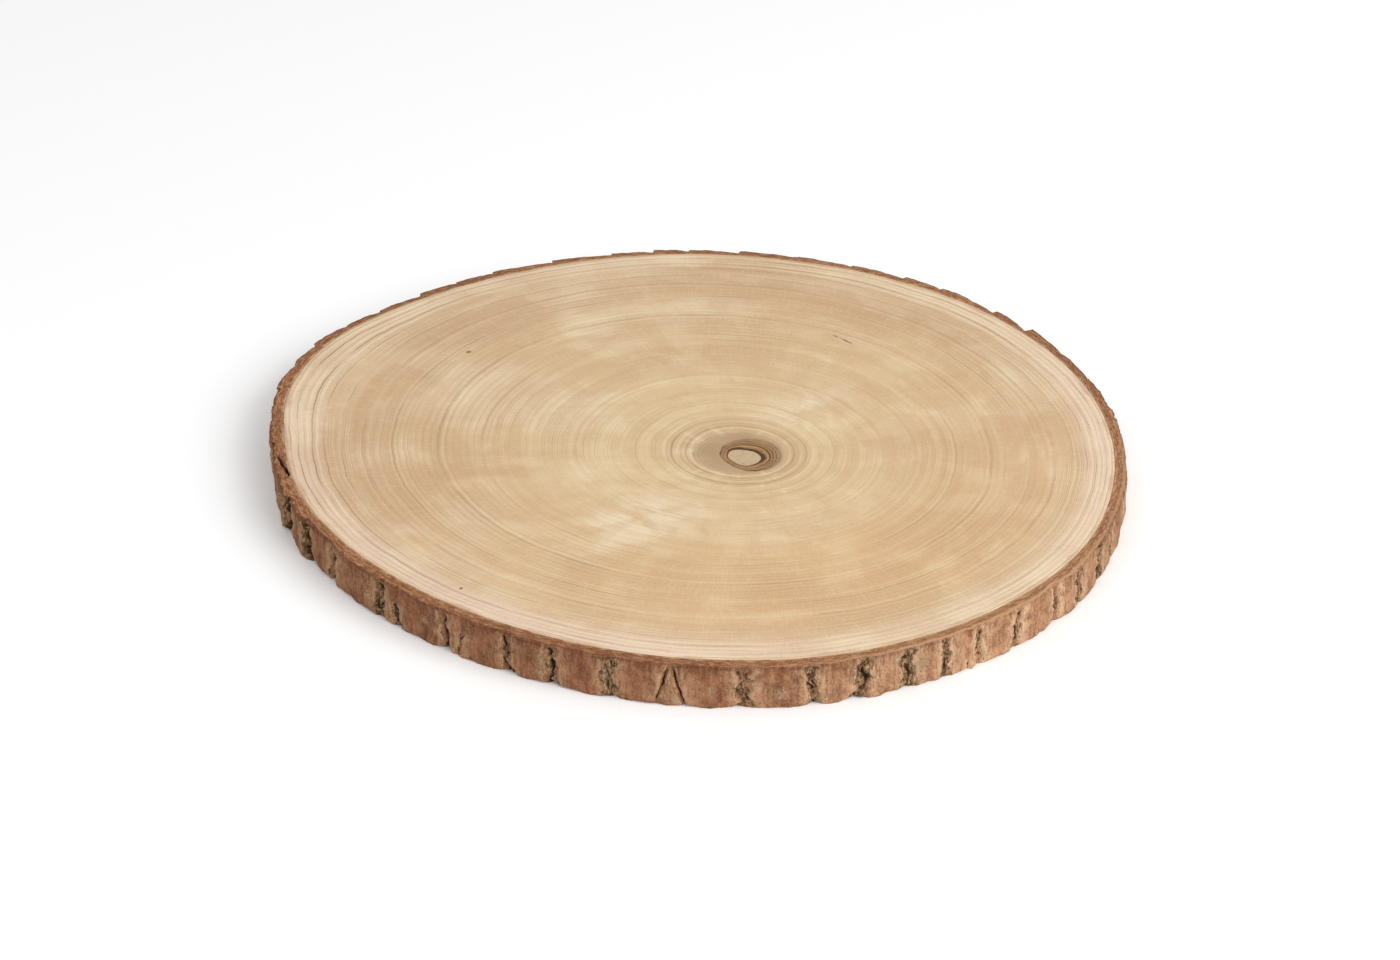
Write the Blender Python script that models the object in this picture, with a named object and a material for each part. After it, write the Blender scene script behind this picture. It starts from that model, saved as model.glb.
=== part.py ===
"""A round slice sawn across a tree trunk, lying on its flat underside, with its bark on.

Two pieces: the sawn disc of wood, and the ring of bark round it. The bark is split by
upright fissures into plates. Units are metres, +Z is up, and the origin is at the middle
of the underside.
"""
import math
import random

import bmesh
import bpy
from mathutils import Matrix

THICKNESS = 0.020
GAP = 0.0003

# The disc's radius every 15 degrees, counter-clockwise from +X.
WOOD_RADII = (
    0.1905, 0.1905, 0.1908, 0.1920, 0.1925, 0.1930, 0.1940, 0.1945,
    0.1950, 0.1970, 0.2005, 0.1965, 0.1875, 0.1825, 0.1784, 0.1765,
    0.1773, 0.1815, 0.1867, 0.1920, 0.1943, 0.1947, 0.1942, 0.1917,
)
WOOD_COLUMNS = 144

# The bark is thickest at the front, on the -Y side.
BARK_MEAN = 0.0048
BARK_FRONT_EXTRA = 0.0009
BARK_SEED = 7

# Each fissure: degrees, width, depth, and how far its foot leans counter-clockwise.
FISSURES = (
    (2.5, 0.0026, 0.0022, 0.0010),
    (9.0, 0.0020, 0.0018, -0.0012),
    (17.5, 0.0030, 0.0026, 0.0006),
    (25.7, 0.0022, 0.0020, 0.0014),
    (33.7, 0.0028, 0.0024, -0.0008),
    (41.2, 0.0024, 0.0020, 0.0010),
    (51.2, 0.0032, 0.0026, -0.0014),
    (58.0, 0.0020, 0.0016, 0.0008),
    (66.5, 0.0026, 0.0020, 0.0004),
    (75.0, 0.0030, 0.0024, -0.0010),
    (83.5, 0.0034, 0.0032, 0.0008),
    (91.0, 0.0022, 0.0018, 0.0012),
    (96.0, 0.0024, 0.0020, -0.0006),
    (102.5, 0.0030, 0.0024, 0.0010),
    (111.0, 0.0026, 0.0024, -0.0012),
    (120.5, 0.0030, 0.0026, 0.0006),
    (126.7, 0.0022, 0.0020, 0.0010),
    (132.5, 0.0024, 0.0022, -0.0008),
    (140.0, 0.0032, 0.0028, 0.0012),
    (146.0, 0.0022, 0.0018, -0.0010),
    (153.0, 0.0028, 0.0026, 0.0006),
    (159.0, 0.0030, 0.0028, -0.0006),
    (166.0, 0.0024, 0.0022, 0.0012),
    (173.0, 0.0030, 0.0028, 0.0008),
    (181.0, 0.0036, 0.0034, -0.0010),
    (189.0, 0.0026, 0.0024, 0.0008),
    (196.9, 0.0034, 0.0032, 0.0012),
    (203.8, 0.0030, 0.0030, 0.0030),
    (211.0, 0.0036, 0.0036, -0.0026),
    (222.8, 0.0034, 0.0034, -0.0020),
    (226.0, 0.0024, 0.0026, 0.0004),
    (235.2, 0.0032, 0.0034, 0.0012),
    (245.2, 0.0028, 0.0028, 0.0014),
    (251.5, 0.0034, 0.0034, 0.0004),
    (259.8, 0.0038, 0.0028, -0.0022),
    (265.8, 0.0018, 0.0028, -0.0050),
    (268.7, 0.0018, 0.0030, 0.0050),
    (276.0, 0.0036, 0.0034, 0.0008),
    (284.3, 0.0032, 0.0032, 0.0030),
    (290.4, 0.0040, 0.0036, -0.0026),
    (296.3, 0.0036, 0.0030, 0.0014),
    (301.3, 0.0026, 0.0026, 0.0006),
    (306.3, 0.0028, 0.0028, 0.0004),
    (312.5, 0.0030, 0.0026, -0.0020),
    (320.3, 0.0028, 0.0028, 0.0010),
    (325.4, 0.0034, 0.0032, 0.0012),
    (331.9, 0.0042, 0.0036, -0.0010),
    (337.0, 0.0028, 0.0026, 0.0014),
    (345.5, 0.0030, 0.0026, -0.0008),
    (354.0, 0.0028, 0.0024, 0.0010),
)

# How deep the fissures are at a height, as a share of their depth at the middle.
FISSURE_AT_TOP = 0.25
FISSURE_AT_FOOT = 0.85

# A fissure opens towards its foot, which notches the lower edge.
FOOT_FLARE = 0.7

# Upright lines on a plate: how far across it, from the lip of one fissure to the next.
PLATE_SHARES = (0.0, 0.14, 0.32, 0.50, 0.68, 0.86, 1.0)
PLATE_CROWN = 0.0006
PLATE_STEP = 0.0009

# A wide plate has a shallow groove down one side of its middle.
WIDE_PLATE = 6.5
GROOVE_DEPTH = 0.0009

# Rows up the bark: height, and how far the wall is set back there.
BARK_ROWS = (
    (0.0, 0.0009),
    (0.0012, 0.0001),
    (0.0050, 0.0),
    (0.0090, 0.0),
    (0.0130, 0.0),
    (0.0168, 0.0),
    (0.0188, 0.0004),
    (THICKNESS, 0.0007),
)

# Low waves over the plates: height, waves in a turn, and how far each slants up the wall.
RIPPLE = 0.00035
RIPPLE_WAVES = ((23, 4.0), (41, -7.0))

WOOD_COLOUR = (0.68, 0.50, 0.29, 1.0)
BARK_COLOUR = (0.27, 0.13, 0.07, 1.0)
WOOD_ROUGHNESS = 0.62
BARK_ROUGHNESS = 0.88
SHARP_EDGE = math.radians(40)


def clear_scene():
    for item in list(bpy.data.objects):
        bpy.data.objects.remove(item, do_unlink=True)


def make_material(name, colour, roughness):
    material = bpy.data.materials.new(name)
    material.use_nodes = True
    shader = material.node_tree.nodes["Principled BSDF"]
    shader.inputs["Base Color"].default_value = colour
    shader.inputs["Roughness"].default_value = roughness
    shader.inputs["Metallic"].default_value = 0.0
    return material


def wood_radius(degrees):
    """The disc's radius at an angle, on a smooth closed curve through WOOD_RADII."""
    count = len(WOOD_RADII)
    place = (degrees % 360.0) * count / 360.0
    first = int(place)
    t = place - first
    before, start, end, after = (WOOD_RADII[(first + k) % count] for k in (-1, 0, 1, 2))
    slope = end - before
    bend = 2 * before - 5 * start + 4 * end - after
    twist = 3 * start - before - 3 * end + after
    return start + 0.5 * (slope * t + bend * t ** 2 + twist * t ** 3)


def polar_point(degrees, radius, height):
    angle = math.radians(degrees)
    return (radius * math.cos(angle), radius * math.sin(angle), height)


def finish_object(name, builder, material):
    """Turn the built shape into a named object with its material and soft shading."""
    mesh = bpy.data.meshes.new(name)
    bmesh.ops.recalc_face_normals(builder, faces=builder.faces)
    builder.to_mesh(mesh)
    builder.free()
    mesh.materials.append(material)
    mesh.shade_smooth()
    mesh.set_sharp_from_angle(angle=SHARP_EDGE)
    item = bpy.data.objects.new(name, mesh)
    bpy.context.scene.collection.objects.link(item)
    return item


def make_wood():
    """The disc: its outline as one face on the ground, extruded up."""
    builder = bmesh.new()
    ring = []
    for column in range(WOOD_COLUMNS):
        degrees = column * 360.0 / WOOD_COLUMNS
        ring.append(builder.verts.new(polar_point(degrees, wood_radius(degrees), 0.0)))
    underside = builder.faces.new(ring)
    grown = bmesh.ops.extrude_face_region(builder, geom=[underside], use_keep_orig=True)
    top = [item for item in grown["geom"] if isinstance(item, bmesh.types.BMVert)]
    bmesh.ops.translate(builder, verts=top, vec=(0.0, 0.0, THICKNESS))
    material = make_material("sawn_wood", WOOD_COLOUR, WOOD_ROUGHNESS)
    return finish_object("wood", builder, material)


def bark_thickness(degrees):
    return BARK_MEAN - BARK_FRONT_EXTRA * math.sin(math.radians(degrees))


def fissure_depth_share(height):
    """A fissure is shallow at the sawn top, full at the middle, and a little less below."""
    level = height / THICKNESS
    if level > 0.5:
        return 1.0 - (1.0 - FISSURE_AT_TOP) * (2.0 * level - 1.0) ** 3
    return 1.0 - (1.0 - FISSURE_AT_FOOT) * (1.0 - 2.0 * level) ** 2


def fissure_place(index, height):
    """A fissure's middle at a height, and half its width there, both in degrees."""
    turns, row = divmod(index, len(FISSURES))
    middle, width, _, lean = FISSURES[row]
    middle += 360.0 * turns
    degrees_per_metre = math.degrees(1.0 / wood_radius(middle))
    below = 0.5 - height / THICKNESS
    flare = 1.0 + FOOT_FLARE * max(0.0, 2.0 * below) ** 3
    return middle + lean * below * degrees_per_metre, 0.5 * width * flare * degrees_per_metre


def ripple(degrees, height, phase):
    """Low waves, so that no plate's face is quite flat."""
    turn = math.radians(degrees)
    level = height / THICKNESS
    waves = [math.sin(count * turn + slant * level + phase) for count, slant in RIPPLE_WAVES]
    return RIPPLE * sum(waves) / len(waves)


def plate_relief(index, draw):
    """How far each upright line of a plate stands out: its crown, its tilt and its groove."""
    width = fissure_place(index + 1, THICKNESS)[0] - fissure_place(index, THICKNESS)[0]
    step = draw.uniform(-1.0, 1.0) * PLATE_STEP
    lift = draw.uniform(-0.3, 1.0) * PLATE_CROWN
    groove_share = draw.choice(PLATE_SHARES[2:5])
    groove = draw.uniform(0.4, 1.0) * GROOVE_DEPTH
    relief = []
    for share in PLATE_SHARES:
        crown = PLATE_CROWN * (1.0 - (2.0 * share - 1.0) ** 2)
        cut = groove if width > WIDE_PLATE and share == groove_share else 0.0
        relief.append(crown + lift + step * (share - 0.5) - cut)
    return relief


def bark_ring(height, setback):
    """The bark's outer wall at one height: for each point its degrees and its radius."""
    draw = random.Random(BARK_SEED)
    ring = []

    def add(degrees, relief):
        radius = wood_radius(degrees) + GAP + bark_thickness(degrees) + relief - setback
        ring.append((degrees, radius))

    for index in range(len(FISSURES)):
        start, start_half = fissure_place(index, height)
        end, end_half = fissure_place(index + 1, height)
        add(start, -FISSURES[index][2] * fissure_depth_share(height))
        phase = draw.uniform(0.0, 2.0 * math.pi)
        first = start + start_half
        last = end - end_half
        for share, relief in zip(PLATE_SHARES, plate_relief(index, draw)):
            degrees = first + (last - first) * share
            add(degrees, relief + ripple(degrees, height, phase))
    return ring


def make_bark():
    """The ring of bark: rings of points up its rough outer wall, then down its inner wall."""
    builder = bmesh.new()
    rings = []
    for height, setback in BARK_ROWS:
        ring = bark_ring(height, setback)
        rings.append([builder.verts.new(polar_point(d, r, height)) for d, r in ring])
    for height in (THICKNESS, 0.0):
        ring = [(degrees, wood_radius(degrees) + GAP) for degrees, _ in bark_ring(height, 0.0)]
        rings.append([builder.verts.new(polar_point(d, r, height)) for d, r in ring])
    for lower, upper in zip(rings, rings[1:] + rings[:1]):
        for column in range(len(lower)):
            after = (column + 1) % len(lower)
            builder.faces.new((lower[column], lower[after], upper[after], upper[column]))
    material = make_material("bark", BARK_COLOUR, BARK_ROUGHNESS)
    return finish_object("bark", builder, material)


def centre_on_origin(items):
    """Slide the pieces together so that the middle of their box is over the origin."""
    points = [vertex.co for item in items for vertex in item.data.vertices]
    middle_x = 0.5 * (min(p.x for p in points) + max(p.x for p in points))
    middle_y = 0.5 * (min(p.y for p in points) + max(p.y for p in points))
    for item in items:
        item.data.transform(Matrix.Translation((-middle_x, -middle_y, 0.0)))


clear_scene()
centre_on_origin([make_wood(), make_bark()])
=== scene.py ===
import math
import random

import bpy
import numpy as np
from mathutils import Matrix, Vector


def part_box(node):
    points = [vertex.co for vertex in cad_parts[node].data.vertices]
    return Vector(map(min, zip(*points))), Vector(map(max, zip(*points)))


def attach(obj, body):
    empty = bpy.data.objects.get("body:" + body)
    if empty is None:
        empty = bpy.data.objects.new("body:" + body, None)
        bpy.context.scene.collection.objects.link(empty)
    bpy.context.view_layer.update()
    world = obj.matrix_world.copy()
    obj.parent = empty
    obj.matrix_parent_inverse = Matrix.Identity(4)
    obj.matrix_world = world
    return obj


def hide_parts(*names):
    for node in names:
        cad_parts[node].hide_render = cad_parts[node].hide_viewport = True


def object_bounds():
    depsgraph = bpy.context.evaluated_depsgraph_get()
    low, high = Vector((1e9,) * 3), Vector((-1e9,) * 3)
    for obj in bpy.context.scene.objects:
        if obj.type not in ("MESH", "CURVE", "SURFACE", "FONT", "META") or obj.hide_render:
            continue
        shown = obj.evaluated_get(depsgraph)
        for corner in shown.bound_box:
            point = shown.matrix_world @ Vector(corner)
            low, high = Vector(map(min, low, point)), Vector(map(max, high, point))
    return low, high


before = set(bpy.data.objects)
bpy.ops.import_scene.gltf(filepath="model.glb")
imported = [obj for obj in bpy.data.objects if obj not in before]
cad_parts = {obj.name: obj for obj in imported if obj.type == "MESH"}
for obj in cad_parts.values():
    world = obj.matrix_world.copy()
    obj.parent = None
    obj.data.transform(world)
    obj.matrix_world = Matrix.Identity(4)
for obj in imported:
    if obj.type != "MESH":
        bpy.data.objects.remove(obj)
cad_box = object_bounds()

THICKNESS = cad_box[1].z - cad_box[0].z
MM = 0.001

# The disc's radius every 15 degrees, counter-clockwise from +X.
WOOD_RADII = (
    0.1905, 0.1905, 0.1908, 0.1920, 0.1925, 0.1930, 0.1940, 0.1945,
    0.1950, 0.1970, 0.2005, 0.1965, 0.1875, 0.1825, 0.1784, 0.1765,
    0.1773, 0.1815, 0.1867, 0.1920, 0.1943, 0.1947, 0.1942, 0.1917,
)

# Where the tree began to grow, measured from the centre of those radii.
PITH = (0.0231, -0.0160)

# The bark is thickest at the front, on the -Y side.
BARK_MEAN = 0.0048
BARK_FRONT_EXTRA = 0.0009

BARK_SEED = 11


class Fissure:
    """A crack between two plates of bark: where it is, and what the photo shows in it.

    Sizes are in millimetres. Lean is how far its foot stands aside, bow how far its path bends,
    twin how far a second crack runs beside the first, and lift how far the plate after it stands
    out. Low and high are heights in shares of the thickness. Crust, dark and pale are shares of
    crumbled bark, shadow and lichen in it.
    """

    def __init__(self, degrees, width, depth, lean, bow=None, twin=None, crust=None, dark=None,
                 pale=0.0, low=-0.3, high=1.0, lift=0.0):
        draw = random.Random(int(degrees * 10))
        self.degrees = degrees
        self.width = width * MM
        self.depth = depth * MM
        self.lean = lean * MM
        self.bow = (draw.uniform(-1.2, 1.2) if bow is None else bow) * MM
        self.twin = (draw.choice((0.0, 0.0, 1.4, -1.6)) if twin is None else twin) * MM
        self.low = low
        self.high = high
        self.crust = draw.uniform(0.35, 1.0) if crust is None else crust
        self.dark = draw.uniform(0.6, 1.0) if dark is None else dark
        self.pale = pale
        self.lift = lift * MM
        self.seed = draw.randrange(100000)


# Round the right side, the back and the left side, then the left end and the front.
FISSURES = [Fissure(*row) for row in (
    (2.5, 2.6, 2.2, 1.0), (9.0, 2.0, 1.8, -1.2), (17.5, 3.0, 2.6, 0.6), (25.7, 2.2, 2.0, 1.4),
    (33.7, 2.8, 2.4, -0.8), (41.2, 2.4, 2.0, 1.0), (51.2, 3.2, 2.6, -1.4, None, None, None, None, 0.5),
    (58.0, 2.0, 1.6, 0.8), (66.5, 2.6, 2.0, 0.4), (75.0, 3.0, 2.4, -1.0),
    (83.5, 3.4, 3.2, 0.8, None, None, None, None, 0.6), (91.0, 2.2, 1.8, 1.2), (96.0, 2.4, 2.0, -0.6),
    (102.5, 3.0, 2.4, 1.0), (111.0, 2.6, 2.4, -1.2), (120.5, 3.0, 2.6, 0.6, None, None, None, None, 0.5),
    (126.7, 2.2, 2.0, 1.0), (132.5, 2.4, 2.2, -0.8), (140.0, 3.2, 2.8, 1.2), (146.0, 2.2, 1.8, -1.0),
    (153.0, 2.8, 2.6, 0.6, None, None, None, None, 0.4), (159.0, 3.0, 2.8, -0.6),
    (166.0, 2.4, 2.2, 1.2), (173.0, 3.0, 2.8, 0.8),
)] + [
    Fissure(181.0, 3.6, 3.4, -1.0, lift=0.2),
    Fissure(191.2, 3.4, 3.4, 0.8, crust=1.0, dark=1.0, lift=1.6),
    Fissure(196.2, 3.8, 3.8, -1.4, crust=1.0, dark=1.0, pale=0.2, lift=0.5),
    Fissure(203.8, 3.2, 3.4, 3.4, crust=0.9, dark=1.0, pale=0.2, lift=-0.8),
    Fissure(211.0, 3.6, 3.6, -2.6, bow=0.6, crust=0.7, dark=1.0, lift=0.5),
    Fissure(222.8, 3.4, 3.4, -2.0, crust=1.0, dark=0.8, pale=0.3),
    Fissure(226.0, 2.4, 2.6, 0.4, crust=0.8, dark=0.9, high=0.6),
    Fissure(235.2, 3.2, 3.4, 1.2, -0.8, 0.0, 0.5, 1.0),
    Fissure(237.6, 1.5, 1.4, -4.0, crust=0.4, dark=0.9, low=-0.1, high=0.66),
    Fissure(245.2, 2.8, 2.8, 1.4, -1.0, 1.8, 0.5, 0.9),
    Fissure(251.5, 3.4, 3.4, 0.4, 0.0, 0.0, 0.7, 1.0, 0.8),
    Fissure(259.8, 3.8, 2.8, -0.2, -2.6, 0.0, 1.0, 0.45, 0.2),
    Fissure(266.05, 1.4, 2.8, -5.8, 0.0, 0.0, 0.2, 1.0, low=0.1),
    Fissure(268.0, 1.4, 3.0, 5.0, 0.0, 0.0, 0.4, 1.0, 0.3),
    Fissure(276.0, 4.2, 2.8, 0.4, 0.0, 3.8, 0.6, 0.62, 0.1),
    Fissure(284.3, 3.2, 3.2, 3.0, -0.4, 1.6, 0.7, 0.74),
    Fissure(290.4, 4.0, 3.6, -2.6, 0.0, -1.4, 0.8, 0.78, 0.3),
    Fissure(296.3, 3.6, 3.0, 1.4, -0.6, 0.0, 1.0, 0.56, 0.4),
    Fissure(301.3, 2.6, 2.6, 0.6, 0.4, 0.0, 0.8, 0.7),
    Fissure(304.6, 1.0, 1.4, 0.4, 0.0, 0.0, 0.2, 0.8, low=-0.1, high=0.32),
    Fissure(306.3, 2.8, 2.8, 0.4, 0.0, 0.0, 0.5, 0.9),
    Fissure(312.5, 3.0, 2.6, -2.0, 0.2, 0.0, 0.6, 0.8),
    Fissure(320.3, 2.8, 2.8, 1.0, 0.0, 1.5, 0.5, 0.8),
    Fissure(325.4, 3.4, 3.2, 1.2, 0.0, 0.0, 0.8, 0.9),
    Fissure(331.9, 4.2, 3.6, -1.0, 0.0, 0.0, 0.9, 1.0),
    Fissure(337.0, 2.8, 2.6, 1.4),
    Fissure(345.5, 3.0, 2.6, -0.8),
    Fissure(354.0, 2.8, 2.4, 1.0),
]

# Patches of lichen on the plates: degrees, height, reach round the slice in degrees and up it.
LICHEN_PATCHES = (
    (220.3, 0.0085, 0.7, 0.0030), (231.6, 0.0105, 0.75, 0.0017), (249.9, 0.0095, 0.45, 0.0085),
    (258.8, 0.0100, 0.5, 0.0050), (267.3, 0.0030, 0.8, 0.0030), (272.0, 0.0090, 0.6, 0.0022),
    (280.4, 0.0070, 0.7, 0.0022), (294.6, 0.0150, 0.6, 0.0030), (297.9, 0.0110, 1.3, 0.0050),
    (198.8, 0.0110, 1.2, 0.0040), (40.0, 0.0110, 1.0, 0.0040), (88.0, 0.0080, 1.2, 0.0050),
    (130.0, 0.0120, 0.9, 0.0035), (157.0, 0.0070, 1.1, 0.0045),
)

# How dry, and so how pale, the bark is round the slice: degrees, reach and strength.
DRY_BARK = ((312.0, 24.0, 1.0), (345.0, 20.0, 0.7), (195.0, 16.0, 0.25), (60.0, 30.0, 0.4))

# A split between the bark and the wood: its start and end, in degrees, and its depth.
SPLIT_START = 185.0
SPLIT_END = 190.8
SPLIT_DEPTH = 0.0040

# Soft stains on the sawn face, in millimetres: x, y, their spread across and along the rings,
# and how much browner (or, below 0, paler) they are.
STAINS = (
    (2.5, 157.5, 14, 30, 0.8), (72, 136, 16, 30, 0.9), (100, 148, 14, 18, 0.7),
    (-91, 141, 16, 22, 0.6), (-60, 152, 20, 10, -0.7), (136, 97, 12, 26, 1.2),
    (148, 24, 12, 22, 1.0), (124, -82, 20, 30, 0.7), (57, -142, 20, 60, 0.9),
    (-16, -109, 10, 16, 0.5), (-131, -73, 14, 24, 1.2), (-150, 30, 10, 50, 0.7),
    (-125, 105, 16, 30, 0.7), (-15, 76, 10, 24, 0.9), (-82, 110, 22, 14, 0.6),
    (2, 45, 8, 26, 0.4), (-97, -30, 20, 16, 0.6), (93, -3, 22, 14, 0.5),
    (57, 27, 14, 14, -0.8), (-30, -88, 24, 12, -1.2), (-132, -15, 8, 16, -1.0),
    (-104, -68, 20, 9, -0.8), (-104, -100, 18, 22, -0.7), (10, 137, 12, 22, -0.8),
    (-58, 112, 20, 10, -0.8), (150, 62, 16, 14, -0.9), (-110, 51, 14, 18, -0.8),
    (-60, 40, 30, 40, -0.4), (20, -95, 12, 40, -0.3), (-135, -22, 30, 50, 0.5),
    (113, 139, 10, 35, -0.9), (23, 177, 8, 35, 0.7), (-163, 89, 10, 30, -0.7),
    (-172, -18, 10, 30, 0.5), (134, -130, 10, 60, -0.9),
)


def smoothstep(low, high, value):
    t = np.clip((value - low) / (high - low), 0.0, 1.0)
    return t * t * (3.0 - 2.0 * t)


def degrees_away(degrees, middle):
    """How far round the slice each angle is from a middle one, from -180 to 180."""
    return (degrees - middle + 180.0) % 360.0 - 180.0


def wood_radius(degrees):
    """The disc's radius at each angle, on a smooth closed curve through WOOD_RADII."""
    radii = np.array(WOOD_RADII)
    count = len(radii)
    place = (np.asarray(degrees, float) % 360.0) * count / 360.0
    first = np.floor(place).astype(int)
    t = place - first
    before, start, end, after = (radii[(first + k) % count] for k in (-1, 0, 1, 2))
    slope = end - before
    bend = 2 * before - 5 * start + 4 * end - after
    twist = 3 * start - before - 3 * end + after
    return start + 0.5 * (slope * t + bend * t ** 2 + twist * t ** 3)


def find_outline_centre():
    """The centre of WOOD_RADII in the frame, from the middle of the CAD disc's box."""
    degrees = np.arange(0.0, 360.0, 2.5)
    radii = wood_radius(degrees)
    xs = radii * np.cos(np.radians(degrees))
    ys = radii * np.sin(np.radians(degrees))
    low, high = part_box("wood")
    return (
        0.5 * (low.x + high.x - xs.min() - xs.max()),
        0.5 * (low.y + high.y - ys.min() - ys.max()),
    )


CENTRE_X, CENTRE_Y = find_outline_centre()


def wave_sum(x, seed, periods):
    """Smooth wandering between about -1 and 1: a few sines of seeded phase and period."""
    draw = random.Random(seed)
    total = np.zeros_like(np.asarray(x, float))
    weight = 0.0
    for period in periods:
        speed = 2.0 * math.pi / (period * draw.uniform(0.8, 1.25))
        total = total + period * np.sin(speed * x + draw.uniform(0.0, 2.0 * math.pi))
        weight += period
    return total / weight * 1.4


def new_object(name, data):
    item = bpy.data.objects.new(name, data)
    bpy.context.scene.collection.objects.link(item)
    return item


def add_float(mesh, name, values):
    """Keep a value on each point of a mesh, under a name that the materials read."""
    layer = mesh.attributes.new(name, "FLOAT", "POINT")
    layer.data.foreach_set("value", np.asarray(values, np.float32))


def add_mesh_object(name, points, faces, attributes, uv=None):
    """A mesh object from points and faces, with float attributes on its points."""
    mesh = bpy.data.meshes.new(name)
    mesh.from_pydata([tuple(p) for p in points], [], faces)
    for key, values in attributes.items():
        add_float(mesh, key, values)
    if uv is not None:
        corners = np.zeros(len(mesh.loops), np.int32)
        mesh.loops.foreach_get("vertex_index", corners)
        layer = mesh.uv_layers.new(name="growth")
        layer.data.foreach_set("uv", np.asarray(uv, np.float32)[corners].ravel())
    mesh.validate()
    mesh.shade_smooth()
    return new_object(name, mesh)


def ring_faces(first, second, columns):
    """Quads between two closed rings of points, given each ring's first point."""
    faces = []
    for column in range(columns):
        after = (column + 1) % columns
        faces.append((first + column, first + after, second + after, second + column))
    return faces


# Node helpers


class Value:
    """A node's output; arithmetic with it adds a maths node to its tree."""

    def __init__(self, maker, socket):
        self.maker = maker
        self.socket = socket

    def reckon(self, operation, first, second):
        vector = self.socket.type == "VECTOR" or isinstance(first, tuple) or isinstance(second, tuple)
        return (self.maker.vector if vector else self.maker.math)(operation, first, second)

    def __add__(self, other):
        return self.reckon("ADD", self, other)

    def __sub__(self, other):
        return self.reckon("SUBTRACT", self, other)

    def __rsub__(self, other):
        return self.reckon("SUBTRACT", other, self)

    def __mul__(self, other):
        return self.reckon("MULTIPLY", self, other)

    def __truediv__(self, other):
        return self.reckon("DIVIDE", self, other)

    def __rtruediv__(self, other):
        return self.reckon("DIVIDE", other, self)


class Maker:
    """Adds nodes to a tree and joins them; a value may be a Value, a number or a tuple."""

    def __init__(self, tree):
        self.tree = tree

    def put(self, sockets, values):
        """Join or set sockets, given by their names or numbers."""
        for key, value in values.items():
            socket = sockets[key]
            if isinstance(value, Value):
                self.tree.links.new(value.socket, socket)
            else:
                socket.default_value = (*value, 1.0) if socket.type == "RGBA" else value

    def node(self, kind, inputs=None, **settings):
        """Add a node, and give its outputs by name and by number."""
        node = self.tree.nodes.new(kind)
        for key, value in settings.items():
            setattr(node, key, value)
        self.put(node.inputs, inputs or {})
        outputs = {}
        for number, socket in enumerate(node.outputs):
            outputs[number] = Value(self, socket)
            if socket.enabled:
                outputs.setdefault(socket.name, outputs[number])
        return outputs

    def math(self, operation, *values, clamp=False):
        return self.node("ShaderNodeMath", dict(enumerate(values)), operation=operation,
                         use_clamp=clamp)[0]

    def vector(self, operation, *values):
        outputs = self.node("ShaderNodeVectorMath", dict(enumerate(values)), operation=operation)
        return outputs["Value" if operation in ("LENGTH", "DOT_PRODUCT") else "Vector"]

    def above_zero(self, value):
        return self.math("MAXIMUM", value, 0.0)

    def separate(self, vector):
        outputs = self.node("ShaderNodeSeparateXYZ", {0: vector})
        return outputs[0], outputs[1], outputs[2]

    def combine(self, *parts):
        return self.node("ShaderNodeCombineXYZ", dict(enumerate(parts)))[0]

    def noise(self, vector, scale, detail=2.0, roughness=0.5, distortion=0.0):
        inputs = {"Vector": vector, "Scale": scale, "Detail": detail, "Roughness": roughness,
                  "Distortion": distortion}
        return self.node("ShaderNodeTexNoise", inputs, noise_dimensions="3D")[0]

    def step(self, value, low, high, start=0.0, end=1.0):
        """Smooth change from start to end while value goes from low to high."""
        return self.node("ShaderNodeMapRange", dict(enumerate((value, low, high, start, end))),
                         interpolation_type="SMOOTHSTEP")[0]

    def line(self, value, low, high, start=0.0, end=1.0):
        """Straight change from start to end while value goes from low to high."""
        return self.node("ShaderNodeMapRange", dict(enumerate((value, low, high, start, end))),
                         interpolation_type="LINEAR")[0]

    def mix(self, factor, first, second):
        return self.node("ShaderNodeMix", {0: factor, 6: first, 7: second}, data_type="RGBA")[2]

    def layers(self, colour, *rows):
        """Lay tints over a colour; each row holds a value, the two values between which its
        tint comes in, how strong the tint gets, and the tint."""
        for value, low, high, amount, tint in rows:
            colour = self.mix(self.step(value, low, high, 0.0, amount), colour, tint)
        return colour

    def ramp(self, factor, stops, interpolation="LINEAR"):
        node = self.tree.nodes.new("ShaderNodeValToRGB")
        self.put(node.inputs, {0: factor})
        band = node.color_ramp
        band.interpolation = interpolation
        while len(band.elements) > 1:
            band.elements.remove(band.elements[-1])
        band.elements[0].position = stops[0][0]
        band.elements[0].color = (*stops[0][1], 1.0)
        for position, colour in stops[1:]:
            band.elements.new(position).color = (*colour, 1.0)
        return Value(self, node.outputs[0])

    def attribute(self, name):
        return self.node("ShaderNodeAttribute", attribute_name=name)["Fac"]

    def bump(self, height, strength, distance):
        inputs = {"Height": height, "Strength": strength, "Distance": distance}
        return self.node("ShaderNodeBump", inputs)[0]

    def group(self, tree, **values):
        inputs = {key.replace("_", " "): value for key, value in values.items()}
        return self.node("ShaderNodeGroup", node_tree=tree, inputs=inputs)

    def give(self, **values):
        """Join the tree's own outputs, and give the tree back."""
        end = self.tree.nodes.new("NodeGroupOutput")
        self.put(end.inputs, {key.replace("_", " "): value for key, value in values.items()})
        return self.tree


VECTOR = "NodeSocketVector"
GEOMETRY = "NodeSocketGeometry"
MATERIAL = "NodeSocketMaterial"
KIND_OF_DEFAULT = {float: "NodeSocketFloat", int: "NodeSocketInt", tuple: VECTOR}


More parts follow.
